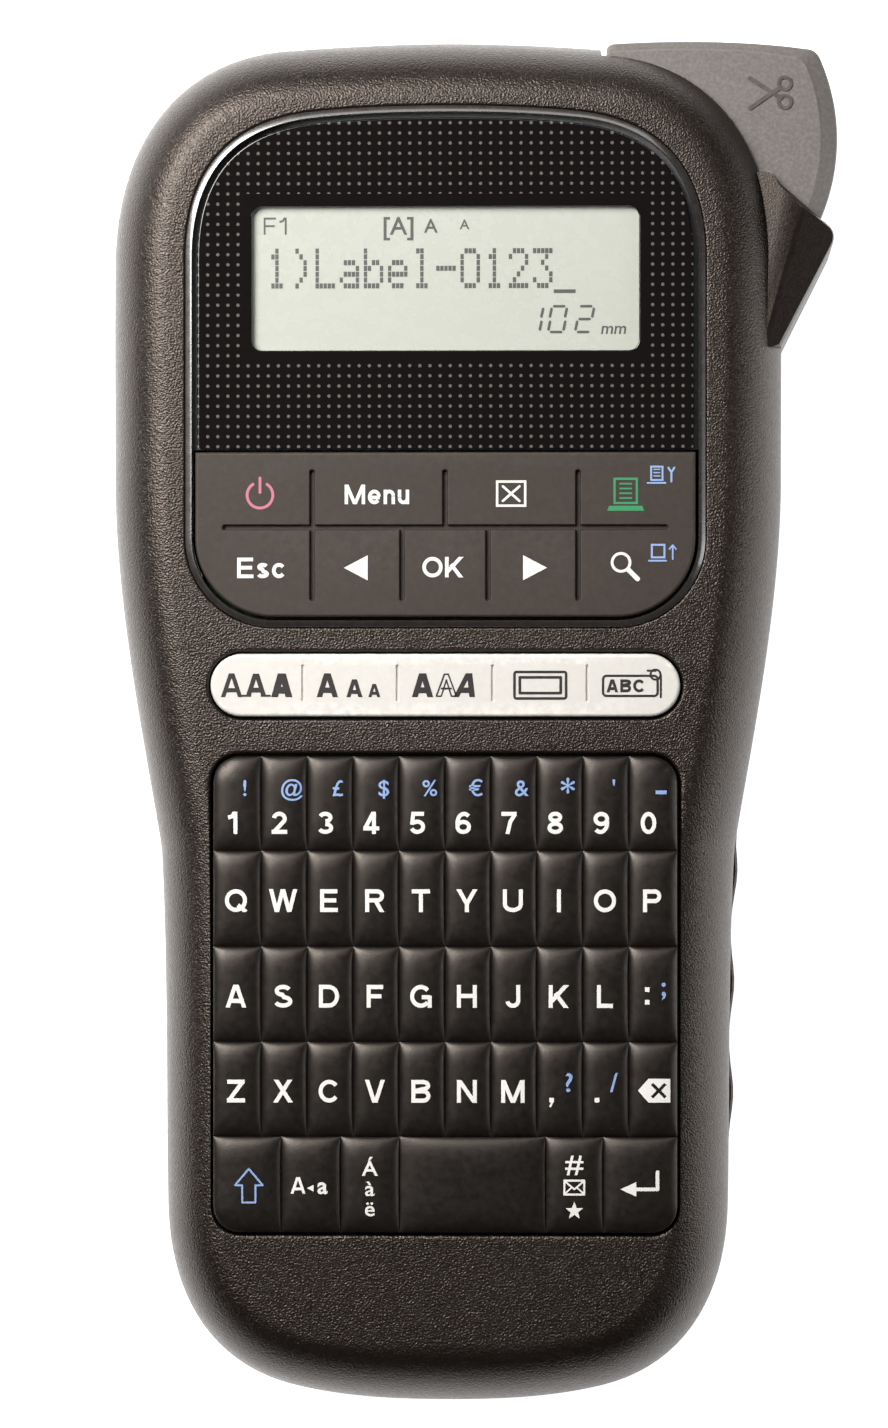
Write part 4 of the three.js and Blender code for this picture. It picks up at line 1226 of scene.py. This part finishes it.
def draw_feed_mark(prints):
    x, y = 32.2, 24.9
    prints.frame(x - 1.1, x + 1.1, y - 0.9, y + 1.3, 0.3)
    prints.stroke([(x - 1.4, y - 1.25), (x + 1.2, y - 1.25)], 0.26)
    prints.stroke([(x + 2.2, y - 1.0), (x + 2.2, y + 1.0)], 0.24)
    prints.stroke([(x + 1.7, y + 0.5), (x + 2.2, y + 1.1), (x + 2.7, y + 0.5)], 0.24)


def draw_triangle(x, y, size):
    """A solid arrowhead pointing left, or right when its size is negative."""
    reach = 1.05 * abs(size)
    corners = [(x - size, y), (x + size, y - reach), (x + size, y + reach)]
    return lambda prints: prints.area(corners if size > 0 else corners[::-1])


def build_control_legends():
    def word(*place, **look):
        return lambda prints: prints.letters(*place, 0.18, 0.97, **look)

    legends = (
        ("legend_power", "key_power", INK_PINK, draw_power),
        ("legend_menu", "key_menu", INK_WHITE, word("Menu", -10.3, 33.7, 2.95, gap=0.15)),
        ("legend_cancel", "key_cancel", INK_WHITE, draw_cancel),
        ("legend_print", "key_print", INK_GREEN, draw_print),
        ("legend_print_setup", "key_print", INK_BLUE, draw_setup_mark),
        ("legend_escape", "key_escape", INK_WHITE, word("Esc", -27.8, 22.6, 3.1)),
        ("legend_left", "key_left", INK_WHITE, draw_triangle(-13.5, 22.6, 1.8)),
        ("legend_ok", "key_ok", INK_WHITE, word("OK", -0.3, 22.7, 3.1, gap=0.12)),
        ("legend_right", "key_right", INK_WHITE, draw_triangle(13.6, 22.6, -1.8)),
        ("legend_preview", "key_preview", INK_WHITE, draw_magnifier),
        ("legend_feed", "key_preview", INK_BLUE, draw_feed_mark),
    )
    for name, body, colour, draw in legends:
        prints = Print()
        draw(prints)
        prints.lay(name, body, "key_dark", colour, flat(KEY_TOP_Z))


# ---------- Function strip ----------

STRIP_COLUMNS = (-50, -21.5, -7.2, 7.2, 21.5, 50)
STRIP_KEYS = ("key_font", "key_size", "key_style", "key_frame", "key_label")


def build_function_strip():
    strip = loft("strip", round_over(strip_outline(), KEY_FOOT_Z, KEY_TOP_Z, 0.55, 6))
    for x in STRIP_COLUMNS[1:-1]:
        combine(strip, groove_cutter((x, 2.6), (x, 7.7), KEY_TOP_Z, 0.14, 0.35))
    cells = {n: (x0, x1, -5, 15) for n, x0, x1 in zip(STRIP_KEYS, STRIP_COLUMNS[:-1], STRIP_COLUMNS[1:])}
    cut_into_keys(strip, cells, RUBBER_WHITE, "key_white")


def serif_letter(prints, x, y, height):
    """A capital A with feet."""
    prints.letters("A", x, y, height, 0.21)
    foot = y - height / 2
    for side in (-1, 1):
        middle = x + side * height * 0.42
        left, right, top = middle - 0.75, middle + 0.75, foot + 0.32
        prints.area([(left, foot), (right, foot), (right, top), (left, top)])


def outlined_letter(prints, x, y, height):
    """A hollow capital A drawn as an outline."""
    half, high, low = height * 0.46, y + height / 2, y - height / 2
    prints.stroke([(x - half, low), (x - 0.3, high), (x + 0.3, high), (x + half, low)], 0.24)
    prints.stroke([(x - half + 0.75, low), (x, high - 0.85), (x + half - 0.75, low)], 0.22)
    prints.stroke([(x - half, low), (x - half + 0.75, low)], 0.22)
    prints.stroke([(x + half, low), (x + half - 0.75, low)], 0.22)
    prints.stroke([(x - 0.7, y - 0.5), (x + 0.7, y - 0.5)], 0.3)


def build_strip_legends():
    y = 4.85
    drawn = {name: Print() for name in STRIP_KEYS}
    drawn["key_font"].letters("A", -32.3, y, 3.6, 0.18)
    serif_letter(drawn["key_font"], -28.6, y, 3.5)
    drawn["key_font"].letters("A", -24.7, y, 3.6, 0.29)
    for x, height in ((-17.8, 3.6), (-13.7, 2.7), (-10.7, 2.0)):
        drawn["key_size"].letters("A", x, y - (3.6 - height) / 2, height, 0.23)
    drawn["key_style"].letters("A", -3.4, y, 3.6, 0.25)
    outlined_letter(drawn["key_style"], 0.2, y, 3.3)
    drawn["key_style"].letters("A", 2.9, y, 3.6, 0.23, slant=0.2)
    drawn["key_frame"].frame(10.3, 18.5, y - 2.2, y + 2.2, 0.4, 0.5)
    drawn["key_frame"].frame(11.1, 17.7, y - 1.4, y + 1.4, 0.42, 0.2)
    label = drawn["key_label"]
    label.frame(23.7, 32.3, y - 1.8, y + 1.6, 0.36, 0.7)
    label.letters("ABC", 27.3, y - 0.1, 1.95, 0.23)
    label.ring(31.8, y + 1.6, 0.75, 0.32)
    label.stroke([(32.6, y + 1.5), (32.6, y - 1.8)], 0.32)
    label.stroke([(30.6, y + 2.2), (31.8, y + 2.2)], 0.32)
    for name, prints in drawn.items():
        prints.lay("legend_" + name[4:], name, "key_white", INK_DARK, flat(KEY_TOP_Z))


# ---------- Keyboard ----------


def corner_rounded(x, y):
    """Pulls the square corners of the keyboard field into its round ones."""
    r = KEYBOARD_CORNER
    middle_y = (KEYBOARD_LOW + KEYBOARD_HIGH) / 2
    half_height = (KEYBOARD_HIGH - KEYBOARD_LOW) / 2
    a = np.abs(x) - (KEYBOARD_HALF_WIDTH - r)
    b = np.abs(y - middle_y) - (half_height - r)
    corner = (a > 0) & (b > 0)
    distance = np.hypot(a, b)
    scale = np.where(corner & (distance > 0), np.maximum(a, b) / np.where(distance > 0, distance, 1), 1)
    new_x = np.where(corner, np.sign(x) * (KEYBOARD_HALF_WIDTH - r + a * scale), x)
    new_y = np.where(corner, middle_y + np.sign(y - middle_y) * (half_height - r + b * scale), y)
    return new_x, new_y


def pillow_height(u, v):
    """Height of a key over its cell, u and v from -1 to 1: steep shoulders and a gently crowned top."""
    across = np.clip(1 - np.abs(u) ** 2.6, 0, 1) ** 0.55
    along = np.clip(1 - np.abs(v) ** 4.5, 0, 1) ** 0.6
    tilt = 0.1 * v
    return PILLOW_EDGE_Z + (KEYBOARD_TOP_Z - PILLOW_EDGE_Z - 0.1) * across * along + tilt * across * along


def key_cells():
    """Cells of the 40 character keys, row by row."""
    cells = []
    for row in range(4):
        for column in range(10):
            x0 = -KEYBOARD_HALF_WIDTH if column == 0 else (column - 5) * KEY_PITCH
            x1 = KEYBOARD_HALF_WIDTH if column == 9 else (column - 4) * KEY_PITCH
            cells.append((x0, x1, CHARACTER_ROWS_Y[row + 1], CHARACTER_ROWS_Y[row]))
    return cells


def bottom_cells():
    columns = zip(BOTTOM_ROW_X[:-1], BOTTOM_ROW_X[1:])
    return [(x0, x1, KEYBOARD_LOW, CHARACTER_ROWS_Y[4]) for x0, x1 in columns]


def keyboard_surface(x, y):
    """Height of the keyboard's top at any point, for laying the legends."""
    z = np.full(len(x), PILLOW_EDGE_Z)
    for x0, x1, y0, y1 in key_cells() + bottom_cells():
        inside = (x >= x0) & (x <= x1) & (y >= y0) & (y <= y1)
        u = (2 * x[inside] - x0 - x1) / (x1 - x0)
        v = (2 * y[inside] - y0 - y1) / (y1 - y0)
        z[inside] = pillow_height(u, v)
    return z


def shoulder_steps(count):
    """Places from -1 to 1, closer together near the ends."""
    return np.sin(np.linspace(-math.pi / 2, math.pi / 2, count))


def add_pillow(bm, cell, across, along, foot=None):
    """One key's top as a grid, with walls down to its foot when it stands alone."""
    x0, x1, y0, y1 = cell
    columns, rows = shoulder_steps(across), shoulder_steps(along)
    u, v = np.meshgrid(columns, rows)
    x, y = corner_rounded((x0 + x1) / 2 + u * (x1 - x0) / 2, (y0 + y1) / 2 + v * (y1 - y0) / 2)
    z = pillow_height(u, v)
    grid = [[bm.verts.new((x[r, c], y[r, c], z[r, c])) for c in range(across)] for r in range(along)]
    for r in range(along - 1):
        for c in range(across - 1):
            bm.faces.new((grid[r][c], grid[r][c + 1], grid[r + 1][c + 1], grid[r + 1][c]))
    if foot is None:
        return
    rim = grid[0][:] + [row[-1] for row in grid[1:]] + grid[-1][-2::-1] + [row[0] for row in grid[-2:0:-1]]
    base = [bm.verts.new((w.co.x, w.co.y, foot)) for w in rim]
    for i in range(len(rim)):
        j = (i + 1) % len(rim)
        bm.faces.new((rim[i], base[i], base[j], rim[j]))
    bm.faces.new(base)


def piece_from_bmesh(name, bm):
    bmesh.ops.remove_doubles(bm, verts=bm.verts, dist=1e-4)
    bmesh.ops.recalc_face_normals(bm, faces=bm.faces)
    bm.verts.ensure_lookup_table()
    bm.verts.index_update()
    points = [tuple(v.co) for v in bm.verts]
    faces = [[v.index for v in f.verts] for f in bm.faces]
    bm.free()
    return make_piece(name, points, faces)


def build_character_mat():
    """The forty pillow keys are one moulding, closed by a wall and a floor."""
    bm = bmesh.new()
    for cell in key_cells():
        add_pillow(bm, cell, 15, 21)
    bmesh.ops.remove_doubles(bm, verts=bm.verts, dist=1e-4)
    border = [e for e in bm.edges if e.is_boundary]
    lowered = {}
    for vertex in (v for edge in border for v in edge.verts):
        if vertex not in lowered:
            lowered[vertex] = bm.verts.new((vertex.co.x, vertex.co.y, KEY_FOOT_Z - 1.5))
    for edge in border:
        a, b = edge.verts
        bm.faces.new((a, b, lowered[b], lowered[a]))
    middle_y = (KEYBOARD_LOW + KEYBOARD_HIGH) / 2
    bm.faces.new(sorted(lowered.values(), key=lambda v: math.atan2(v.co.y - middle_y, v.co.x)))
    mat = piece_from_bmesh("character_keys", bm)
    place(finish_mesh(mat, RUBBER_BLACK, 50), "case", "key_rubber", "keypad_mat")


BOTTOM_KEYS = ("key_shift", "key_caps", "key_accent", "key_space", "key_symbol", "key_enter")


def build_bottom_row():
    for name, (x0, x1, y0, y1) in zip(BOTTOM_KEYS, bottom_cells()):
        bm = bmesh.new()
        cell = (x0 + SEAM, x1 - SEAM, y0, y1 - SEAM)
        add_pillow(bm, cell, 25 if name == "key_space" else 17, 21, KEY_FOOT_Z)
        key = piece_from_bmesh(name + "_cap", bm)
        place(finish_mesh(key, RUBBER_BLACK, 50), name, "key_rubber", name)


def cell_centre(cell):
    x0, x1, y0, y1 = cell
    return (x0 + x1) / 2, (y0 + y1) / 2


def cross_outline(x, y, reach, half_width):
    """A diagonal cross as one outline."""
    r, w = reach, half_width
    arms = [(r, -w), (r, w), (w, w), (w, r), (-w, r), (-w, w)]
    arms += [(-r, w), (-r, -w), (-w, -w), (-w, -r), (w, -r), (w, -w)]
    return np.array([(x + (a - b) * math.sqrt(0.5), y + (a + b) * math.sqrt(0.5)) for a, b in arms])


def draw_backspace(prints, x, y):
    corners = [(-2.6, 0), (-1.0, -1.8), (2.3, -1.8), (2.3, 1.8), (-1.0, 1.8)]
    body = np.array([(x + a, y + b) for a, b in corners])
    prints.area(body, cross_outline(x + 0.55, y, 1.45, 0.24)[::-1])


def build_character_legends():
    white, blue = Print(), Print()
    cells = key_cells()
    for index, (digit, symbol) in enumerate(zip("1234567890", "!@£$%€&*'-")):
        x, y = cell_centre(cells[index])
        white.letters(digit, x - 0.7, y - 2.9, 3.35)
        size = 3.6 if symbol in "*-" else 2.4
        rise = 1.9 if symbol == "*" else 2.35
        stretch = 1.25 if symbol == "-" else 1.0
        blue.text(symbol, x + 1.2, y + rise, size, 0.008, stretch)
    for row, letters in enumerate(("QWERTYUIOP", "ASDFGHJKL", "ZXCVBNM"), start=1):
        for column, letter in enumerate(letters):
            x, y = cell_centre(cells[row * 10 + column])
            white.letters(letter, x - 0.15, y - 0.25, 3.45)
    x, y = cell_centre(cells[29])
    for rise in (-1.35, 0.55):
        white.area(rounded_rectangle(x - 1.25, x - 0.55, y + rise - 0.1, y + rise + 0.6, 0.08, 3))
    blue.text(";", x + 1.6, y + 1.3, 3.0, 0.012)
    x, y = cell_centre(cells[37])
    white.area(rounded_rectangle(x - 1.6, x - 0.9, y - 1.9, y - 1.2, 0.08, 3))
    white.stroke([(x - 1.1, y - 1.8), (x - 1.45, y - 2.5)], 0.3)
    blue.text("?", x + 1.4, y + 1.1, 2.8, 0.008, 1.15)
    x, y = cell_centre(cells[38])
    white.area(rounded_rectangle(x - 1.7, x - 1.0, y - 1.9, y - 1.2, 0.08, 3))
    blue.text("/", x + 1.2, y + 1.1, 2.8, 0.012)
    x, y = cell_centre(cells[39])
    draw_backspace(white, x + 0.3, y - 0.1)
    white.lay("legends_white", "case", "key_rubber", INK_WHITE, keyboard_surface, 0.04, 0.8)
    blue.lay("legends_blue", "case", "key_rubber", INK_BLUE, keyboard_surface, 0.04, 0.8)


def draw_shift(prints, x, y):
    outline = [
        (x, y + 2.6),
        (x + 2.1, y + 0.1),
        (x + 1.0, y + 0.1),
        (x + 1.0, y - 2.5),
        (x - 1.0, y - 2.5),
        (x - 1.0, y + 0.1),
        (x - 2.1, y + 0.1),
        (x, y + 2.6),
    ]
    prints.stroke(outline, 0.28)


def draw_enter(prints, x, y):
    prints.stroke([(x + 2.6, y + 2.0), (x + 2.6, y - 0.6), (x - 1.0, y - 0.6)], 0.55)
    prints.area([(x - 3.0, y - 0.6), (x - 0.6, y - 1.7), (x - 0.6, y + 0.5)])


def draw_star(prints, x, y, size):
    turn = np.radians(90 + np.arange(10) * 36)
    radius = np.where(np.arange(10) % 2 == 0, size, size * 0.42)
    prints.area(np.column_stack([x + radius * np.cos(turn), y + radius * np.sin(turn)]))


def draw_envelope(prints, x, y):
    prints.frame(x - 1.65, x + 1.65, y - 1.2, y + 1.2, 0.3)
    prints.stroke([(x - 1.5, y + 1.0), (x, y - 0.25), (x + 1.5, y + 1.0)], 0.26)
    prints.stroke([(x - 1.5, y - 1.0), (x - 0.45, y - 0.05)], 0.24)
    prints.stroke([(x + 1.5, y - 1.0), (x + 0.45, y - 0.05)], 0.24)


def build_bottom_legends():
    cells = dict(zip(BOTTOM_KEYS, bottom_cells()))
    drawn = {name: Print() for name in BOTTOM_KEYS if name != "key_space"}
    x, y = cell_centre(cells["key_shift"])
    draw_shift(drawn["key_shift"], x + 0.3, y - 0.2)
    x, y = cell_centre(cells["key_caps"])
    drawn["key_caps"].letters("A", x - 1.9, y - 0.1, 2.5, 0.17)
    drawn["key_caps"].text("a", x + 1.8, y - 0.1, 2.6, 0.022)
    drawn["key_caps"].area([(x - 0.55, y - 0.5), (x + 0.45, y - 1.0), (x + 0.45, y)])
    x, y = cell_centre(cells["key_accent"])
    for letter, rise in (("Á", 2.5), ("à", -0.55), ("ë", -3.6)):
        drawn["key_accent"].text(letter, x, y + rise, 2.25, 0.012, 1.08)
    x, y = cell_centre(cells["key_symbol"])
    drawn["key_symbol"].text("#", x, y + 3.3, 2.9, 0.008, 1.1)
    draw_envelope(drawn["key_symbol"], x, y - 0.35)
    draw_star(drawn["key_symbol"], x, y - 3.9, 1.4)
    x, y = cell_centre(cells["key_enter"])
    draw_enter(drawn["key_enter"], x, y)
    for name, prints in drawn.items():
        colour = INK_BLUE if name == "key_shift" else INK_WHITE
        prints.lay("legend_" + name[4:], name, "key_rubber", colour, keyboard_surface, 0.04, 0.8)


# ---------- Cutter lever and tape-exit guard ----------


def lever_outline(low_degrees, margin=0.0, top_margin=0.0):
    """Plan of the lever: hub, low end, arc about the pivot and bowed top edge, the last two set in."""
    px, py = LEVER_PIVOT
    radius = LEVER_RADIUS - margin
    high_degrees = math.degrees(math.asin((12.4 - top_margin) / radius))
    low = math.radians(low_degrees)
    turn, reach = low + 0.035, LEVER_RADIUS - 11
    inner = (px + reach * math.cos(turn), py + reach * math.sin(turn))
    rim = arc(LEVER_PIVOT, radius, low_degrees, high_degrees, 60)
    corner_end = (54.4 - margin, 101.75 - top_margin)
    leaving = (rim[-1][0] - 0.5, rim[-1][1] + 0.9)
    arriving = (corner_end[0] + 1.4, corner_end[1] - 0.12)
    corner = bezier(rim[-1], leaving, arriving, corner_end, 14)
    left = (25.6, 102.55 - top_margin)
    top = bezier(corner_end, (46, 102.9 - top_margin), (36, 103.15 - top_margin), left, 40)
    end = bezier(left, (24.9, left[1]), (24.3, left[1] - 0.4), (24.2, left[1] - 1.2), 6)
    return np.vstack([arc(LEVER_PIVOT, 5.2, 180, 315, 14), [inner], rim, corner[1:], top, end, [(24.2, 93)]])


def lever_solid(name, low_degrees, z0, z1):
    """The lever's plan with a wide bevel along its rim and a narrower one along its top edge."""
    steps = [(0, 0, 2.0), (0.08, 0.06, 1.55), (0.3, 0.2, 1.25)]
    steps += [(2.05, 1.1, 0.45), (2.3, 1.3, 0.3), (2.55, 1.45, 0.0)]
    sections = [(lever_outline(low_degrees), z0)]
    sections += [(lever_outline(low_degrees, across, top), z1 - down) for across, top, down in steps]
    return loft(name, sections)


def build_lever():
    lever = lever_solid("lever", -24.7, LEVER_TOP_Z - 3, LEVER_TOP_Z)
    rim = lever_solid("cutter", -6, LEVER_LOW_Z, LEVER_TOP_Z - 0.02)
    hollow = upright(*LEVER_PIVOT, 0, LEVER_TOP_Z - 2.4, LEVER_RADIUS - 2.4, 90)
    combine(hollow, block(0, 80, 60, 100.0, -5, 60), "INTERSECT")
    combine(rim, hollow)
    combine(lever, rim, "UNION")
    combine(lever, upright(*LEVER_PIVOT, 36, LEVER_TOP_Z - 1, 5.2), "UNION")
    combine(lever, upright(*LEVER_PIVOT, 0, 60, 1.8))
    place(finish_mesh(lever, LEVER), "cutter_lever", "lever_grey", "cutter_lever")

    icon = Print()
    for y in (96.3, 93.5):
        icon.ring(51.4, y, 0.95, 0.5)
    for tip_y, ring_y in ((97.1, 94.05), (92.5, 95.75)):
        icon.stroke([(46.1, tip_y), (50.75, ring_y)], 0.6)
    # The icon's darker moulding is painted shade for its relief.
    icon.lay("lever_icon", "cutter_lever", "lever_grey", LEVER_ICON_SHADE, flat(LEVER_TOP_Z), 0.2)


def plane_cut(piece, point, normal):
    """Cuts a convex piece by a plane and keeps what is below it."""
    bm = bmesh.new()
    bm.from_mesh(piece.data)
    edges = trim(bm, Vector(point) * MM + DEVICE_ORIGIN, normal)
    bmesh.ops.edgeloop_fill(bm, edges=edges)
    bmesh.ops.recalc_face_normals(bm, faces=bm.faces)
    bm.to_mesh(piece.data)
    bm.free()


def build_guard():
    """Black fin beside the tape exit, hollow where the lever's end swings in."""
    line = np.vstack(
        [
            bezier((50.9, 56.2), (53.3, 61.2), (56.4, 67.2), (58.5, 71.5), 24),
            bezier((58.5, 71.5), (59.2, 72.9), (59.0, 74.0), (58.1, 74.8), 10),
            bezier((58.1, 74.8), (55.5, 77.2), (52.0, 80.2), (48.9, 82.8), 20),
            [(48.9, 82.8), (46.6, 82.8), (46.6, 56.2)],
        ]
    )
    outline = respace(line, 200)
    share = smooth((outline[:, 0] - 49.2) / 2.0)[:, None]
    normals = inward_normals(outline)
    top = GUARD_TOP_Z
    sections = [(outline + normals * 0.5 * share, 8.0), (outline, 8.6), (outline, top - 5.6)]
    for k in range(1, 7):
        turn = k / 6 * math.pi / 2
        across, deep = 1.5 * (1 - math.cos(turn)), 4.6 * (1 - math.sin(turn))
        sections.append((outline + normals * across * share, top - deep))
    guard = loft("tape_guard", sections)
    crest = (51.4, 68.8, top - 0.4)
    plane_cut(guard, crest, (-0.16, 0.045, 1))
    plane_cut(guard, crest, (0.30, -0.08, 1))
    combine(guard, upright(*LEVER_PIVOT, 9.6, LEVER_TOP_Z + 0.4, LEVER_RADIUS + 0.5, 120))
    place(finish_mesh(guard, GUARD), "case", "case_black", "cutter_guard")


# ---------- CAD nodes that keep their shape ----------

NODE_FINISHES = {
    INNER: ("print_chassis", "cassette_case", "battery_tray"),
    STEEL: (
        "lever_pin",
        "lever_spring",
        "cutter_blade",
        "thermal_head",
        "motor",
        "battery_contacts_head",
        "battery_contacts_tail",
        "screw_head_left",
        "screw_head_right",
        "screw_tail_left",
        "screw_tail_right",
    ),
    PALE: ("platen_gear", "idler_gear", "takeup_drive"),
    BRASS: ("motor_pinion",),
    BOARD: ("main_board",),
    ROLLER: ("platen_roller", "ribbon_supply_spool", "ribbon_takeup_spool", "power_inlet"),
    TAPE: ("tape_roll",),
    CELL: tuple(f"battery_{i}" for i in range(1, 7)),
}


def finish_cad_nodes():
    for material, names in NODE_FINISHES.items():
        for name in names:
            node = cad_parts[name]
            node.data.materials.clear()
            node.data.materials.append(material)


# ---------- Floor, light and camera ----------

FLOOR_REACH = 3000
SILHOUETTE_Z = 35.0
CAMERA_DISTANCE = 1200.0
CAMERA_SIDE_DEGREES = 1.8
VIEW_HEIGHT = 219.9
VIEW_CENTRE = (-0.85, 0.5)


def to_row(x, y, z):
    return Vector((x, y, z)) * MM + DEVICE_ORIGIN


def build_stage():
    r = FLOOR_REACH
    floor = make_piece("floor", [(-r, -r, 0), (r, -r, 0), (r, r, 0), (-r, r, 0)], [[0, 1, 2, 3]])
    recipe = Recipe("floor_paper", (0.86, 0.86, 0.86), 0.8, specular=0.2)
    recipe.mottle(40, (0.84, 0.84, 0.84), (0.3, 0.7))
    recipe.set("Emission Color", (1, 1, 1, 1))
    recipe.set("Emission Strength", 1.0)
    floor.data.materials.append(recipe.material)


def add_light(name, position, size, power, colour=(1, 1, 1), target=(0, 0, 30)):
    data = bpy.data.lights.new(name, "AREA")
    data.shape = "RECTANGLE"
    data.size, data.size_y = size
    data.energy = power
    data.color = colour
    light = bpy.data.objects.new(name, data)
    bpy.context.scene.collection.objects.link(light)
    light.visible_camera = False
    light.location = to_row(*position)
    light.rotation_euler = (to_row(*target) - light.location).to_track_quat("-Z", "Y").to_euler()


# Brightness of the studio by the height of a direction: bright horizon, dark walls, soft ceiling.
STUDIO_BANDS = ((0.0, 0.3), (0.08, 0.22), (0.18, 0.012), (0.8, 0.015), (0.95, 0.05), (1.0, 0.07))


def build_light():
    world = bpy.data.worlds.new("studio")
    bpy.context.scene.world = world
    world.use_nodes = True
    tree = world.node_tree
    direction = tree.nodes.new("ShaderNodeTexCoord")
    axes = tree.nodes.new("ShaderNodeSeparateXYZ")
    bands = tree.nodes.new("ShaderNodeValToRGB")
    elements = bands.color_ramp.elements
    for index, (height, level) in enumerate(STUDIO_BANDS):
        element = elements[index] if index < 2 else elements.new(height)
        element.position = height
        element.color = (level, level, level, 1)
    tree.links.new(direction.outputs["Generated"], axes.inputs[0])
    tree.links.new(axes.outputs["Z"], bands.inputs["Fac"])
    tree.links.new(bands.outputs["Color"], tree.nodes["Background"].inputs["Color"])
    add_light("key_light", (-225, 210, 410), (0.26, 0.26), 4.4, (1, 0.97, 0.94))
    add_light("top_light", (-20, 430, 500), (0.6, 0.2), 0.9, (1, 0.97, 0.94))
    add_light("left_light", (-430, 60, 500), (0.2, 0.4), 0.1, (1, 0.97, 0.94))
    add_light("side_light", (560, -40, 130), (0.16, 0.8), 1.6)


def build_camera():
    data = bpy.data.cameras.new("camera")
    data.sensor_width = 36
    data.lens = 36 * CAMERA_DISTANCE / VIEW_HEIGHT
    camera = bpy.data.objects.new("camera", data)
    bpy.context.scene.collection.objects.link(camera)
    target = to_row(*VIEW_CENTRE, SILHOUETTE_Z)
    side = math.radians(CAMERA_SIDE_DEGREES)
    camera.location = target + Vector((math.sin(side), 0, math.cos(side))) * CAMERA_DISTANCE * MM
    camera.rotation_euler = (0, side, 0)
    bpy.context.scene.camera = camera


def build_everything():
    build_camera()
    build_light()
    build_stage()
    build_front_case()
    build_rear_case()
    build_rear_lid()
    build_console()
    build_display_contents()
    build_control_pad()
    build_control_legends()
    build_function_strip()
    build_strip_legends()
    build_character_mat()
    build_bottom_row()
    build_character_legends()
    build_bottom_legends()
    build_lever()
    build_guard()
    finish_cad_nodes()
    bpy.context.scene.view_settings.view_transform = "Standard"


build_everything()
